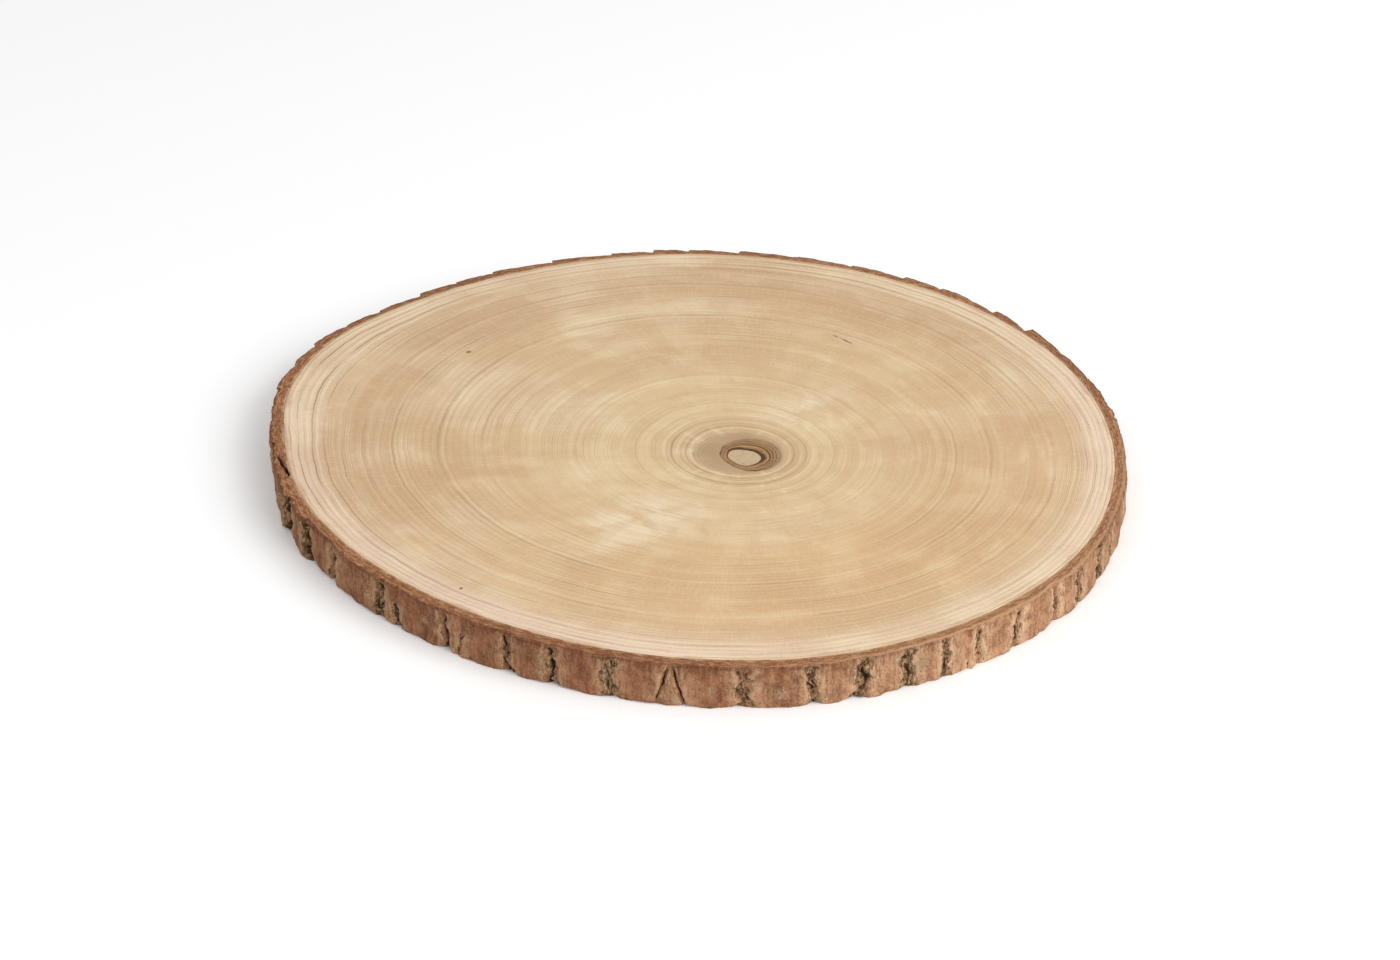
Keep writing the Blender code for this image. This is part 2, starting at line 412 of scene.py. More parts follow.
def new_tree(name, kind, inputs, outputs):
    """A node tree with named sockets; an input is given by its default, or by its kind alone."""
    tree = bpy.data.node_groups.new(name, kind)
    for title, given in inputs.items():
        socket_type = given if isinstance(given, str) else KIND_OF_DEFAULT[type(given)]
        socket = tree.interface.new_socket(title, in_out="INPUT", socket_type=socket_type)
        if not isinstance(given, str):
            socket.default_value = given
    for title in outputs:
        socket_type = GEOMETRY if title == "Geometry" else KIND_OF_DEFAULT[float]
        tree.interface.new_socket(title, in_out="OUTPUT", socket_type=socket_type)
    maker = Maker(tree)
    return maker, maker.node("NodeGroupInput")


def make_ring_group():
    """Growth rings round the pith: each darkens slowly outwards and ends sharply.

    Band is a softer change of tone over several rings, Cloud a patch stretched along them, and
    Fan a patch stretched across them.
    """
    maker, given = new_tree("growth rings", "ShaderNodeTree", {
        "Growth": VECTOR, "Count": 70.0, "Wander": 0.004, "Uneven": 1.5, "Sharpness": 0.55,
        "Bands": 45.0, "Cloud Width": 0.06,
    }, ("Line", "Share", "Ring Tone", "Band", "Cloud", "Fan"))
    growth = given["Growth"]
    wander = maker.noise(growth, 2.6, 1.0) - 0.5 + (maker.noise(growth, 13.0, 3.0) - 0.5) * 0.45
    share = maker.vector("LENGTH", growth) + wander * given["Wander"]
    spacing = maker.noise(maker.combine(share, 0.37, 0.11), 8.0, 3.0) * given["Uneven"]
    turn = share * given["Count"] + spacing
    phase = maker.math("FRACT", turn)
    number = {"W": maker.math("FLOOR", turn)}
    toss = maker.node("ShaderNodeTexWhiteNoise", noise_dimensions="1D", inputs=number)["Value"]
    strength = maker.line(maker.math("POWER", toss, 2.6), 0.0, 1.0, 0.14, 1.0)
    rise = maker.step(phase, given["Sharpness"], 0.93)
    fall = maker.step(phase, 0.95, 1.0, 1.0, 0.0)
    way = maker.vector("NORMALIZE", growth)

    def patches(around, along, *finish):
        """Noise that changes this fast round the pith and along the growth."""
        place = way * (around, around, 0.0) + maker.combine(0.0, 0.0, along)
        return maker.noise(place, 1.0, *finish)

    return maker.give(
        Line=rise * fall * strength,
        Share=share,
        Ring_Tone=toss,
        Band=patches(0.55, share * given["Bands"], 3.0, 0.6),
        Cloud=patches(3.4, share / given["Cloud Width"], 3.0, 0.55, 0.4),
        Fan=patches(4.8, share * 4.2, 2.5, 0.5, 0.4),
    )


def make_ray_group():
    """Thin short rays that run out from the pith, and fine marks of the saw across them."""
    maker, given = new_tree("rays and saw marks", "ShaderNodeTree", {
        "Growth": VECTOR, "Place": VECTOR, "Rays": 60.0, "Ray Length": 0.02, "Saw Spacing": 0.0011,
    }, ("Ray", "Saw"))
    growth, rays = given["Growth"], given["Rays"]
    around = maker.vector("NORMALIZE", growth) * maker.combine(rays, rays, 0.0)
    along = maker.combine(0.0, 0.0, maker.vector("LENGTH", growth) / given["Ray Length"])
    x, y, _ = maker.separate(given["Place"])
    sweep = y + maker.noise(given["Place"], 14.0, 2.0) * 0.012 + x * x * 0.9
    mark = maker.combine(sweep / given["Saw Spacing"], x * 12.0, 0.0)
    return maker.give(Ray=maker.noise(around + along, 1.0, 2.0, 0.6), Saw=maker.noise(mark, 1.0, 2.0))


def make_grain_group():
    """Fine grain: pores and fibres, stretched by a scale along each axis."""
    maker, given = new_tree("fine grain", "ShaderNodeTree", {
        "Place": VECTOR, "Size": (0.001, 0.001, 0.004), "Roughness": 0.6,
    }, ("Tone", "Height"))
    place = given["Place"] / given["Size"]
    coarse = maker.noise(place, 1.0, 4.0, given["Roughness"])
    fine = maker.noise(place, 3.7, 2.0, given["Roughness"])
    return maker.give(Tone=coarse * 0.65 + fine * 0.35, Height=coarse + fine * 0.5)


def make_mottle_group():
    """Soft patches of two sizes, for colour that drifts over a surface."""
    maker, given = new_tree("mottle", "ShaderNodeTree", {
        "Place": VECTOR, "Patch": 0.02, "Speck": 0.003,
    }, ("Patches", "Specks"))
    patches = maker.noise(given["Place"], 1.0 / given["Patch"], 3.0, 0.55, 0.4)
    specks = maker.noise(given["Place"], 1.0 / given["Speck"], 3.0, 0.65, 0.2)
    return maker.give(Patches=maker.step(patches, 0.35, 0.65), Specks=maker.step(specks, 0.50, 0.68))


RING_GROUP = make_ring_group()
RAY_GROUP = make_ray_group()
GRAIN_GROUP = make_grain_group()
MOTTLE_GROUP = make_mottle_group()


def new_material(name, roughness, specular=0.3):
    """A material, the maker of its nodes and its shader's inputs."""
    material = bpy.data.materials.new(name)
    material.use_nodes = True
    inputs = material.node_tree.nodes["Principled BSDF"].inputs
    inputs["Roughness"].default_value = roughness
    inputs["Specular IOR Level"].default_value = specular
    return material, Maker(material.node_tree), inputs


# Colour of the sawn wood from the pith to the bark, by the share of the growth.
WOOD_TONES = (
    (0.000, (0.561, 0.378, 0.211)), (0.120, (0.579, 0.410, 0.226)), (0.150, (0.601, 0.436, 0.240)),
    (0.190, (0.700, 0.522, 0.290)), (0.340, (0.711, 0.535, 0.304)), (0.410, (0.685, 0.500, 0.279)),
    (0.550, (0.663, 0.470, 0.261)), (0.700, (0.658, 0.462, 0.258)), (0.780, (0.657, 0.452, 0.259)),
    (0.840, (0.687, 0.479, 0.283)), (0.880, (0.706, 0.512, 0.307)), (0.915, (0.731, 0.545, 0.344)),
    (0.945, (0.722, 0.552, 0.378)), (0.965, (0.816, 0.665, 0.488)), (1.000, (0.816, 0.655, 0.464)),
)

# Single rings that stand out: share of the growth, half width, and how dark.
DARK_RINGS = (
    (0.1290, 0.0040, 0.72), (0.1400, 0.0030, 0.22), (0.1610, 0.0046, 0.56), (0.1720, 0.0030, 0.16),
    (0.1960, 0.0050, 0.14), (0.2380, 0.0040, 0.16), (0.2900, 0.0040, 0.12), (0.7580, 0.0022, 0.20),
    (0.7900, 0.0024, 0.20), (0.8250, 0.0026, 0.28), (0.8530, 0.0018, 0.14), (0.8800, 0.0020, 0.50),
    (0.9170, 0.0019, 0.62), (0.9290, 0.0014, 0.16), (0.9430, 0.0019, 0.74), (0.9580, 0.0012, 0.12),
    (0.9740, 0.0019, 0.68),
)

# Rings paler than their neighbours: share of the growth, half width, and how pale.
PALE_RINGS = (
    (0.1190, 0.0042, 0.42), (0.1480, 0.0060, 0.35), (0.1780, 0.0080, 0.25), (0.2150, 0.0090, 0.20),
    (0.2700, 0.0090, 0.20), (0.3120, 0.0070, 0.20), (0.9330, 0.0060, 0.55), (0.9530, 0.0070, 0.70),
    (0.9650, 0.0060, 0.50), (0.9850, 0.0060, 0.70),
)

# Small marks: x, y, half length, half width, and the turn of the length in degrees.
SMALL_MARKS = (
    (-0.1085, 0.0835, 0.0014, 0.0012, 0.0),
    (-0.0985, -0.1340, 0.0009, 0.0008, 0.0),
    (0.0730, 0.0950, 0.0042, 0.0006, -50.0),
    (0.0680, 0.1000, 0.0022, 0.0005, -48.0),
)

# The pale plug at the pith, the brown ring round it and the heart round both: their radii every
# 45 degrees, from a point in the middle of the plug.
PITH_MIDDLE = (0.0226, -0.0199, 0.0)
PLUG_RADII = (0.0075, 0.0070, 0.0073, 0.0087, 0.0076, 0.0064, 0.0084, 0.0078)
BROWN_RADII = (0.0158, 0.0167, 0.0157, 0.0133, 0.0104, 0.0094, 0.0123, 0.0146)
HEART_RADII = (0.0176, 0.0200, 0.0234, 0.0240, 0.0232, 0.0190, 0.0168, 0.0165)

# Darker lines in the heart: share of its radius, half width, and how dark.
HEART_LINES = ((0.985, 0.028, 0.50), (0.90, 0.020, 0.30), (0.82, 0.022, 0.42), (0.74, 0.018, 0.30),
               (0.66, 0.020, 0.36), (0.58, 0.018, 0.36))

# Colour across the brown ring, from the plug outwards.
BROWN_TONES = (
    (0.00, (0.260, 0.135, 0.050)), (0.30, (0.450, 0.250, 0.105)), (0.55, (0.350, 0.188, 0.076)),
    (0.80, (0.480, 0.282, 0.126)), (1.00, (0.505, 0.330, 0.175)),
)

# Darker lines in the brown ring: share of its width, half width, and how dark they are at its
# upper right and lower left.
BROWN_LINES = ((0.28, 0.06, 0.45, 0.30), (0.48, 0.10, 0.95, 0.55), (0.66, 0.07, 0.85, 0.45),
               (0.82, 0.07, 0.85, 0.35), (1.00, 0.24, 0.48, 1.00))

# Colour across the sawn rim of the bark, from the wood outwards.
RIM_TONES = (
    (0.00, (0.330, 0.148, 0.066)), (0.06, (0.440, 0.222, 0.108)), (0.25, (0.345, 0.143, 0.065)),
    (0.55, (0.305, 0.116, 0.051)), (0.78, (0.360, 0.150, 0.070)), (0.90, (0.245, 0.092, 0.041)),
    (1.00, (0.160, 0.056, 0.026)),
)


def ring_line(maker, share, middle, half_width):
    """1 on a ring, falling to 0 at its half width."""
    return maker.step(maker.math("ABSOLUTE", share - middle), 0.0, half_width, 1.0, 0.0)


def add_stains(maker, colour, place, rings):
    """Soft brown and pale patches, broken up by clouds that follow the rings."""
    stain = maker.attribute("stain")
    cloud, fan = rings["Cloud"], rings["Fan"]
    broken = maker.line(cloud * 0.5 + fan * 0.5, 0.38, 0.60, 0.35, 1.95)
    thin = maker.line(cloud, 0.60, 0.38, 0.35, 1.95)
    tan = maker.math("MULTIPLY", maker.above_zero(stain) * broken, 0.76, clamp=True)
    pale = maker.math("MULTIPLY", maker.above_zero(stain * -1.0) * thin, 0.75, clamp=True)
    colour = maker.mix(tan, colour, (0.600, 0.390, 0.222))
    colour = maker.mix(pale, colour, (0.840, 0.705, 0.490))
    colour = maker.layers(
        colour,
        (cloud, 0.50, 0.70, 0.42, (0.610, 0.388, 0.215)),
        (cloud, 0.48, 0.30, 0.42, (0.830, 0.685, 0.455)),
    )
    outer = maker.step(rings["Share"], 0.25, 0.50)
    colour = maker.mix(maker.step(fan, 0.51, 0.60) * outer * 0.28, colour, (0.600, 0.380, 0.210))
    colour = maker.mix(maker.step(fan, 0.48, 0.39) * outer * 0.22, colour, (0.830, 0.685, 0.465))
    drift = maker.noise(place, 17.0, 4.0, 0.6, 0.8)
    return maker.layers(
        colour,
        (drift, 0.50, 0.68, 0.30, (0.655, 0.425, 0.260)),
        (drift, 0.47, 0.32, 0.28, (0.800, 0.645, 0.400)),
    )


def add_growth_rings(maker, colour, growth, rings, fine_rings):
    """Many fine rings that fade in and out, with the few that stand out over them."""
    share = rings["Share"]
    fade = maker.step(maker.noise(growth, 3.1, 2.0, 0.55), 0.38, 0.58, 0.22, 1.0)
    calm_heart = maker.step(share, 0.30, 0.74, 0.28, 1.25)
    calm_edge = maker.step(share, 0.84, 0.92, 1.0, 0.30)
    strength = fade * (calm_heart * calm_edge)
    colour = maker.layers(
        colour,
        (rings["Band"], 0.50, 0.64, 0.16, (0.840, 0.690, 0.450)),
        (rings["Band"], 0.48, 0.36, 0.17, (0.560, 0.355, 0.190)),
    )
    tone = rings["Ring Tone"] - 0.5
    colour = maker.mix(maker.above_zero(tone) * 0.20, colour, (0.830, 0.680, 0.450))
    colour = maker.mix(maker.above_zero(tone * -1.0) * 0.22, colour, (0.600, 0.390, 0.220))
    line = maker.math("MULTIPLY", rings["Line"] * strength, 0.92, clamp=True)
    colour = maker.mix(line, colour, (0.420, 0.245, 0.125))
    fine = fine_rings["Line"] * maker.step(share, 0.40, 0.75, 0.95, 1.45)
    fine = maker.math("MULTIPLY", fine, fade, clamp=True)
    colour = maker.mix(fine, colour, (0.520, 0.335, 0.180))
    bright = maker.above_zero(fine_rings["Ring Tone"] - 0.5) * (fade * 0.15)
    colour = maker.mix(bright, colour, (0.860, 0.720, 0.500))
    waver = maker.step(maker.noise(growth, 5.5, 3.0), 0.36, 0.58, 0.30, 1.05)
    for middle, half_width, pale in PALE_RINGS:
        ring = ring_line(maker, share, middle, half_width) * waver * pale
        colour = maker.mix(ring, colour, (0.860, 0.700, 0.450))
    # Toward the front right the outer rings are faint
    way = maker.vector("NORMALIZE", growth)
    front_right = maker.vector("DOT_PRODUCT", way, (0.57, -0.82, 0.0))
    faint = maker.step(front_right, 0.40, 0.85, 1.0, 0.40)
    for middle, half_width, dark in DARK_RINGS:
        shifted = growth + (0.0, 0.0, 9.0 * middle)
        if middle > 0.5:
            waver = maker.step(maker.noise(shifted, 4.2, 3.0), 0.40, 0.60, 0.16, 1.15) * faint
            tint = (0.270, 0.155, 0.112)
        else:
            waver = maker.step(maker.noise(shifted, 3.6, 2.0), 0.38, 0.60, 0.55, 1.15)
            tint = (0.370, 0.220, 0.105)
        ring = ring_line(maker, share, middle, half_width) * waver
        colour = maker.mix(maker.math("MULTIPLY", ring, dark * 1.25, clamp=True), colour, tint)
    # Bark-brown shade that creeps into the newest wood here and there
    creep = share + maker.line(maker.noise(growth, 9.0, 3.0), 0.3, 0.7, -0.012, 0.012)
    return maker.layers(colour, (creep, 0.990, 1.002, 0.55, (0.520, 0.310, 0.185)))


def far_and_edge(maker, place, radii):
    """How far a point is from PITH_MIDDLE, and an outline's radius in its direction."""
    x, y, _ = maker.separate(place - PITH_MIDDLE)
    turn = maker.math("FRACT", maker.math("ARCTAN2", y, x) / (2.0 * math.pi))
    count = len(radii)
    largest = max(radii)
    greys = [radii[step % count] / largest for step in range(count + 1)]
    stops = [(step / count, (grey, grey, grey)) for step, grey in enumerate(greys)]
    edge = maker.ramp(turn, stops, "CARDINAL") * largest
    return maker.vector("LENGTH", maker.combine(x, y, 0.0)), edge


def add_pith(maker, colour, growth, place, mottle):
    """The grey-brown heart, the brown ring in it with its dark lines, and the pale plug."""
    ripple = maker.math("MULTIPLY_ADD", maker.noise(place, 210.0, 2.0), 0.0012, -0.0006)
    far, heart_edge = far_and_edge(maker, place, HEART_RADII)
    heart = maker.math("MULTIPLY_ADD", ripple, 0.4, far) / heart_edge
    heart_mask = maker.step(heart, 0.90, 1.02, 1.0, 0.0)
    heart_shade = heart_mask * maker.step(heart, 0.60, 1.0, 0.95, 0.62)
    colour = maker.mix(heart_shade, colour, (0.475, 0.318, 0.178))
    blotch = (1.0 - mottle["Patches"]) * 0.30
    colour = maker.mix(heart_mask * blotch, colour, (0.360, 0.222, 0.115))
    for middle, half_width, dark in HEART_LINES:
        waver = maker.step(maker.noise(growth, 14.0 + 9.0 * middle, 2.0), 0.38, 0.58, 0.20, 1.0)
        line = ring_line(maker, heart, middle, half_width) * waver * dark
        colour = maker.mix(line, colour, (0.270, 0.158, 0.075))

    brown_edge = far_and_edge(maker, place, BROWN_RADII)[1]
    plug_edge = far_and_edge(maker, place, PLUG_RADII)[1]
    from_plug = far + ripple - plug_edge
    depth = from_plug / (brown_edge - plug_edge)
    brown_mask = maker.step(depth, 0.86, 1.12, 1.0, 0.0)
    browns = maker.ramp(maker.line(depth, 0.0, 1.1), BROWN_TONES)
    browns = maker.mix(mottle["Specks"] * 0.35, browns, (0.185, 0.095, 0.038))
    colour = maker.mix(brown_mask * 0.96, colour, browns)
    x, y, _ = maker.separate(place - PITH_MIDDLE)
    slant = x + y
    lower_left = maker.line(slant, 0.007, -0.009)
    for middle, half_width, dark, dark_left in BROWN_LINES:
        waver = maker.step(maker.noise(growth, 17.0 + 11.0 * middle, 2.0), 0.34, 0.52, 0.62, 1.0)
        line = ring_line(maker, depth, middle, half_width) * waver
        amount = maker.line(lower_left, 0.0, 1.0, dark, dark_left)
        colour = maker.mix(line * amount, colour, (0.095, 0.038, 0.012))

    # The crack round the plug, painted dark as the shade in its gap, is widest at its upper right
    width = maker.line(slant, -0.006, 0.006, 0.0007, 0.0026)
    crack = maker.step(from_plug, -0.0003, 0.0001) * maker.step(from_plug, width * 0.5, width, 1.0, 0.0)
    crack = crack * maker.line(lower_left, 0.0, 1.0, 0.95, 0.70)
    colour = maker.mix(crack, colour, (0.060, 0.022, 0.006))
    plug_colour = maker.mix(mottle["Specks"], (0.560, 0.412, 0.242), (0.450, 0.315, 0.172))
    return maker.mix(maker.step(from_plug, -0.0005, 0.0, 1.0, 0.0), colour, plug_colour)


def add_small_marks(maker, colour, place):
    """A knot, a dark speck and a short scratch on the upper face, and pinholes on both."""
    upper = maker.step(maker.separate(place)[2], 0.4 * THICKNESS, 0.6 * THICKNESS)
    grain = maker.noise(place, 900.0, 2.0)
    marks = None
    for x, y, long, wide, turn in SMALL_MARKS:
        away_x, away_y, _ = maker.separate(place - (x, y, 0.0))
        cosine, sine = math.cos(math.radians(turn)), math.sin(math.radians(turn))
        along = away_x * (cosine / long) + away_y * (sine / long)
        aside = away_x * (-sine / wide) + away_y * (cosine / wide)
        far = maker.vector("LENGTH", maker.combine(along, aside, 0.0))
        far = far + maker.line(grain, 0.3, 0.7, -0.35, 0.35)
        mark = maker.step(far, 0.6, 1.3, 1.0, 0.0)
        marks = mark if marks is None else maker.math("MAXIMUM", marks, mark)
    colour = maker.mix(marks * upper * 0.85, colour, (0.205, 0.115, 0.058))
    holes = maker.node("ShaderNodeTexVoronoi", {"Vector": place, "Scale": 95.0}, feature="F1")
    near = maker.step(holes["Distance"], 0.020, 0.045, 1.0, 0.0)
    chosen = maker.math("GREATER_THAN", maker.separate(holes["Color"])[0], 0.86)
    return maker.mix(near * chosen * 0.50, colour, (0.300, 0.170, 0.085))


def make_wood_material():
    material, maker, shader = new_material("sawn_wood", 0.6)
    place = maker.node("ShaderNodeTexCoord")["Object"]
    growth = maker.node("ShaderNodeUVMap", uv_map="growth")["UV"]
    rings = maker.group(RING_GROUP, Growth=growth, Count=62.0, Wander=0.020, Uneven=6.0,
                        Sharpness=0.25, Bands=48.0, Cloud_Width=0.075)
    fine_rings = maker.group(RING_GROUP, Growth=growth, Count=171.0, Wander=0.020,
                             Uneven=6.0, Sharpness=0.25)
    rays = maker.group(RAY_GROUP, Growth=growth, Place=place, Rays=150.0, Ray_Length=0.030,
                       Saw_Spacing=0.0012)
    grain = maker.group(GRAIN_GROUP, Place=place, Size=(0.0007, 0.0007, 0.0007), Roughness=0.6)
    mottle = maker.group(MOTTLE_GROUP, Place=place, Patch=0.030, Speck=0.0016)
    colour = maker.ramp(rings["Share"], WOOD_TONES)
    colour = add_stains(maker, colour, place, rings)
    colour = maker.mix(maker.attribute("blush") * 0.60, colour, (0.795, 0.590, 0.515))
    colour = maker.mix(maker.attribute("warm") * 0.42, colour, (0.735, 0.455, 0.215))
    colour = add_growth_rings(maker, colour, growth, rings, fine_rings)

    # Rays, saw marks and pores
    clear = maker.step(rings["Share"], 0.12, 0.26)
    pale_rays = maker.step(rays["Ray"], 0.52, 0.70, 0.0, 0.16) * clear
    colour = maker.mix(pale_rays, colour, (0.86, 0.70, 0.47))
    dark_rays = maker.step(rays["Ray"], 0.46, 0.30, 0.0, 0.14) * clear
    colour = maker.mix(dark_rays, colour, (0.54, 0.35, 0.19))
    colour = maker.layers(
        colour,
        (rays["Saw"], 0.50, 0.70, 0.12, (0.52, 0.34, 0.18)),
        (grain["Tone"], 0.52, 0.66, 0.20, (0.45, 0.28, 0.14)),
        (grain["Tone"], 0.48, 0.36, 0.16, (0.88, 0.74, 0.52)),
    )
    colour = add_pith(maker, colour, growth, place, mottle)
    colour = add_small_marks(maker, colour, place)
    height = grain["Height"] * 0.5 + (rays["Saw"] * 0.7 + rings["Line"] * -0.5)
    maker.put(shader, {
        "Base Color": colour,
        "Roughness": maker.line(grain["Tone"], 0.3, 0.7, 0.52, 0.70),
        "Normal": maker.bump(height, 0.35, 0.00018),
    })
    return material


def make_bark_material():
    material, maker, shader = new_material("bark", 0.9, 0.12)
    place = maker.node("ShaderNodeTexCoord")["Object"]
    x, y, height = maker.separate(place)
    crevice = maker.attribute("crevice")
    across = maker.attribute("across")
    dry = maker.attribute("dry")
    mottle = maker.group(MOTTLE_GROUP, Place=place, Patch=0.0075, Speck=0.0024)

    def grain(*size):
        return maker.group(GRAIN_GROUP, Place=place, Size=size, Roughness=0.62)

    streaks = grain(0.0016, 0.0016, 0.0080)
    grit = grain(0.0011, 0.0011, 0.0013)
    fibres = grain(0.0009, 0.0009, 0.0032)

    # Outer plates: reddish brown, drier and paler on their high parts, with a painted highlight on their
    # raised edges beside fissures
    light = maker.mix(dry, (0.390, 0.185, 0.091), (0.590, 0.358, 0.203))
    plate = maker.mix(mottle["Patches"], (0.130, 0.042, 0.018), (0.272, 0.104, 0.048))
    tone = maker.line(maker.attribute("tone"), -1.0, 1.0, 0.0, 0.30)
    plate = maker.mix(tone, plate, (0.340, 0.150, 0.078))
    dried = dry * maker.line(mottle["Patches"], 0.0, 1.0, 0.30, 0.80)
    plate = maker.mix(dried, plate, (0.490, 0.252, 0.138))
    plate = maker.layers(
        plate,
        (streaks["Tone"], 0.50, 0.60, 0.34, light),
        (streaks["Tone"], 0.48, 0.39, 0.44, (0.115, 0.040, 0.019)),
    )
    worn = maker.step(maker.noise(place, 105.0, 3.0, 0.6, 0.6), 0.50, 0.62)
    worn = worn * maker.line(dry, 0.1, 1.0, 0.10, 0.46)
    plate = maker.mix(worn, plate, (0.560, 0.315, 0.170))
    # Painted highlight: pale tan on the raised plate edges beside the fissures, paler still where the
    # bark is dry
    margin_highlight = maker.attribute("margin_highlight") * maker.step(streaks["Tone"], 0.41, 0.54, 0.25, 0.95)
    tan = maker.mix(dry, (0.520, 0.310, 0.170), (0.740, 0.510, 0.320))
    plate = maker.mix(margin_highlight, plate, tan)
    plate = maker.layers(
        plate,
        (grit["Tone"], 0.52, 0.60, 0.42, light),
        (grit["Tone"], 0.47, 0.39, 0.48, (0.105, 0.040, 0.019)),
    )
    # Painted shade: a dark reddish shadow under the rim, over the top of the wall, weaker where the bark
    # is dry
    shade_under_rim = maker.step(height, THICKNESS - 0.0060, THICKNESS - 0.0012)
    shade_under_rim = shade_under_rim * maker.line(streaks["Tone"], 0.40, 0.60, 0.75, 0.10)
    shade_under_rim = shade_under_rim * maker.line(dry, 0.3, 1.0, 1.0, 0.30)
    plate = maker.mix(shade_under_rim, plate, (0.165, 0.060, 0.028))

    # Crumbled crust in the fissures: olive brown in its hollows, tan on its lumps
    lumps = maker.step(maker.attribute("crumb"), 0.44, 0.60)
    crumbs = maker.mix(lumps, (0.075, 0.041, 0.018), (0.300, 0.175, 0.088))
    crumbs = maker.layers(
        crumbs,
        (fibres["Tone"], 0.515, 0.58, 0.78, (0.560, 0.360, 0.198)),
        (fibres["Tone"], 0.485, 0.42, 0.66, (0.048, 0.024, 0.009)),
    )
    ragged = maker.attribute("crust") + maker.line(streaks["Tone"], 0.40, 0.60, -0.36, 0.30)
    outer = maker.layers(plate, (ragged, 0.42, 0.66, 0.92, crumbs))

    # Lichen patches, and painted shade in the cracks and the plates' grooves
    pale = maker.mix(mottle["Specks"], (0.330, 0.230, 0.125), (0.540, 0.405, 0.250))
    pale = maker.layers(pale, (grit["Tone"], 0.48, 0.38, 0.80, (0.120, 0.074, 0.034)))
    outer = maker.mix(maker.attribute("lichen") * 0.62, outer, pale)
    outer = maker.layers(outer, (crevice, 0.30, 0.85, 0.95, (0.040, 0.020, 0.008)))

    # Sawn rim: fibres that follow the edge, paler next to the wood, dark at the outer corner
    bast = maker.noise(maker.combine(across * 7.0, x * 240.0, y * 240.0), 1.0, 4.0, 0.62)
    rim = maker.layers(
        maker.ramp(across, RIM_TONES),
        (bast, 0.50, 0.60, 0.60, (0.610, 0.365, 0.190)),
        (bast, 0.48, 0.38, 0.70, (0.165, 0.058, 0.025)),
        (grit["Tone"], 0.51, 0.60, 0.35, (0.590, 0.345, 0.180)),
        (grit["Tone"], 0.47, 0.38, 0.40, (0.170, 0.062, 0.027)),
        (dry, 0.38, 0.08, 0.26, (0.165, 0.058, 0.025)),
        (dry, 0.30, 1.0, 0.14, (0.680, 0.425, 0.225)),
    )
    corner = maker.step(across, 0.60, 0.86) * maker.line(dry, 0.3, 0.9, 0.0, 0.85)
    rim = maker.mix(corner, rim, (0.640, 0.370, 0.200))
    fresh = across + maker.line(maker.noise(place, 150.0, 3.0), 0.3, 0.7, -0.16, 0.16)
    # Pale fresh bark next to the wood, then painted shade in the split and where the fissures reach the
    # rim
    rim = maker.layers(
        rim,
        (fresh, 0.10, 0.02, 0.70, (0.640, 0.430, 0.250)),
        (crevice, 0.20, 0.85, 0.97, (0.028, 0.014, 0.006)),
    )
    colour = maker.mix(maker.attribute("wall"), rim, outer)
    # Painted shadow: a thin dark line just under the wall's top corner, broken by the grit and fainter
    # where the bark is dry
    edge = maker.attribute("edge") * maker.step(grit["Tone"], 0.58, 0.42, 0.35, 1.0)
    edge = edge * maker.line(dry, 0.3, 1.0, 1.0, 0.25)
    colour = maker.mix(edge, colour, (0.105, 0.038, 0.018))
    relief = streaks["Height"] * 0.8 + grit["Height"] * 1.0
    maker.put(shader, {
        "Base Color": colour,
        "Roughness": maker.line(grit["Tone"], 0.3, 0.7, 0.82, 0.96),
        "Normal": maker.bump(relief, 0.8, 0.0007),
    })
    return material


def make_lichen_material():
    material, maker, shader = new_material("lichen", 0.95, 0.12)
    place = maker.node("ShaderNodeTexCoord")["Object"]
    mottle = maker.group(MOTTLE_GROUP, Place=place, Patch=0.006, Speck=0.0012)
    colour = maker.mix(mottle["Patches"], (0.30, 0.20, 0.10), (0.58, 0.44, 0.28))
    colour = maker.mix(mottle["Specks"] * 0.7, colour, (0.16, 0.10, 0.05))
    maker.put(shader, {"Base Color": colour})
    return material


# The sawn disc

TOP_RINGS = 190
UNDER_RINGS = 90
WOOD_COLUMNS = 288
OUTLINE_BLEND_START = 0.80
OUTLINE_BLEND_POWER = 1.5
PITH_PLUG = 0.0078
PLUG_DEPTH = 0.00045
EDGE_BEVEL = 0.00025

# Pink in the newest wood, at the front left, the right and the left: degrees, reach, strength.
BLUSHES = ((232.0, 30.0, 1.0), (5.0, 30.0, 0.9), (186.0, 16.0, 0.35))


def bell(x):
    """1 at 0, falling away smoothly on both sides."""
    return np.exp(-x ** 2)


def edge_from_pith(angles):
    """How far the disc's edge is from the pith, along each direction."""
    low = np.zeros_like(angles)
    high = np.full_like(angles, 0.3)
    for _ in range(40):
        middle = 0.5 * (low + high)
        x = PITH[0] + middle * np.cos(angles)
        y = PITH[1] + middle * np.sin(angles)
        inside = np.hypot(x, y) < wood_radius(np.degrees(np.arctan2(y, x)))
        low = np.where(inside, middle, low)
        high = np.where(inside, high, middle)
    return low


def round_outline(edge):
    """The edge with only its broad shape left, as the tree was when it was younger."""
    parts = np.fft.rfft(edge)
    parts[3:] = 0.0
    return np.fft.irfft(parts, len(edge))


def growth_share(share, edge, young):
    """Share of the growth for a share of the way to the edge: old rings are rounder."""
    blend = np.clip((share - OUTLINE_BLEND_START) / (1.0 - OUTLINE_BLEND_START), 0.0, 1.0)
    blend = blend ** OUTLINE_BLEND_POWER
    return share * edge / (young + (edge - young) * blend)


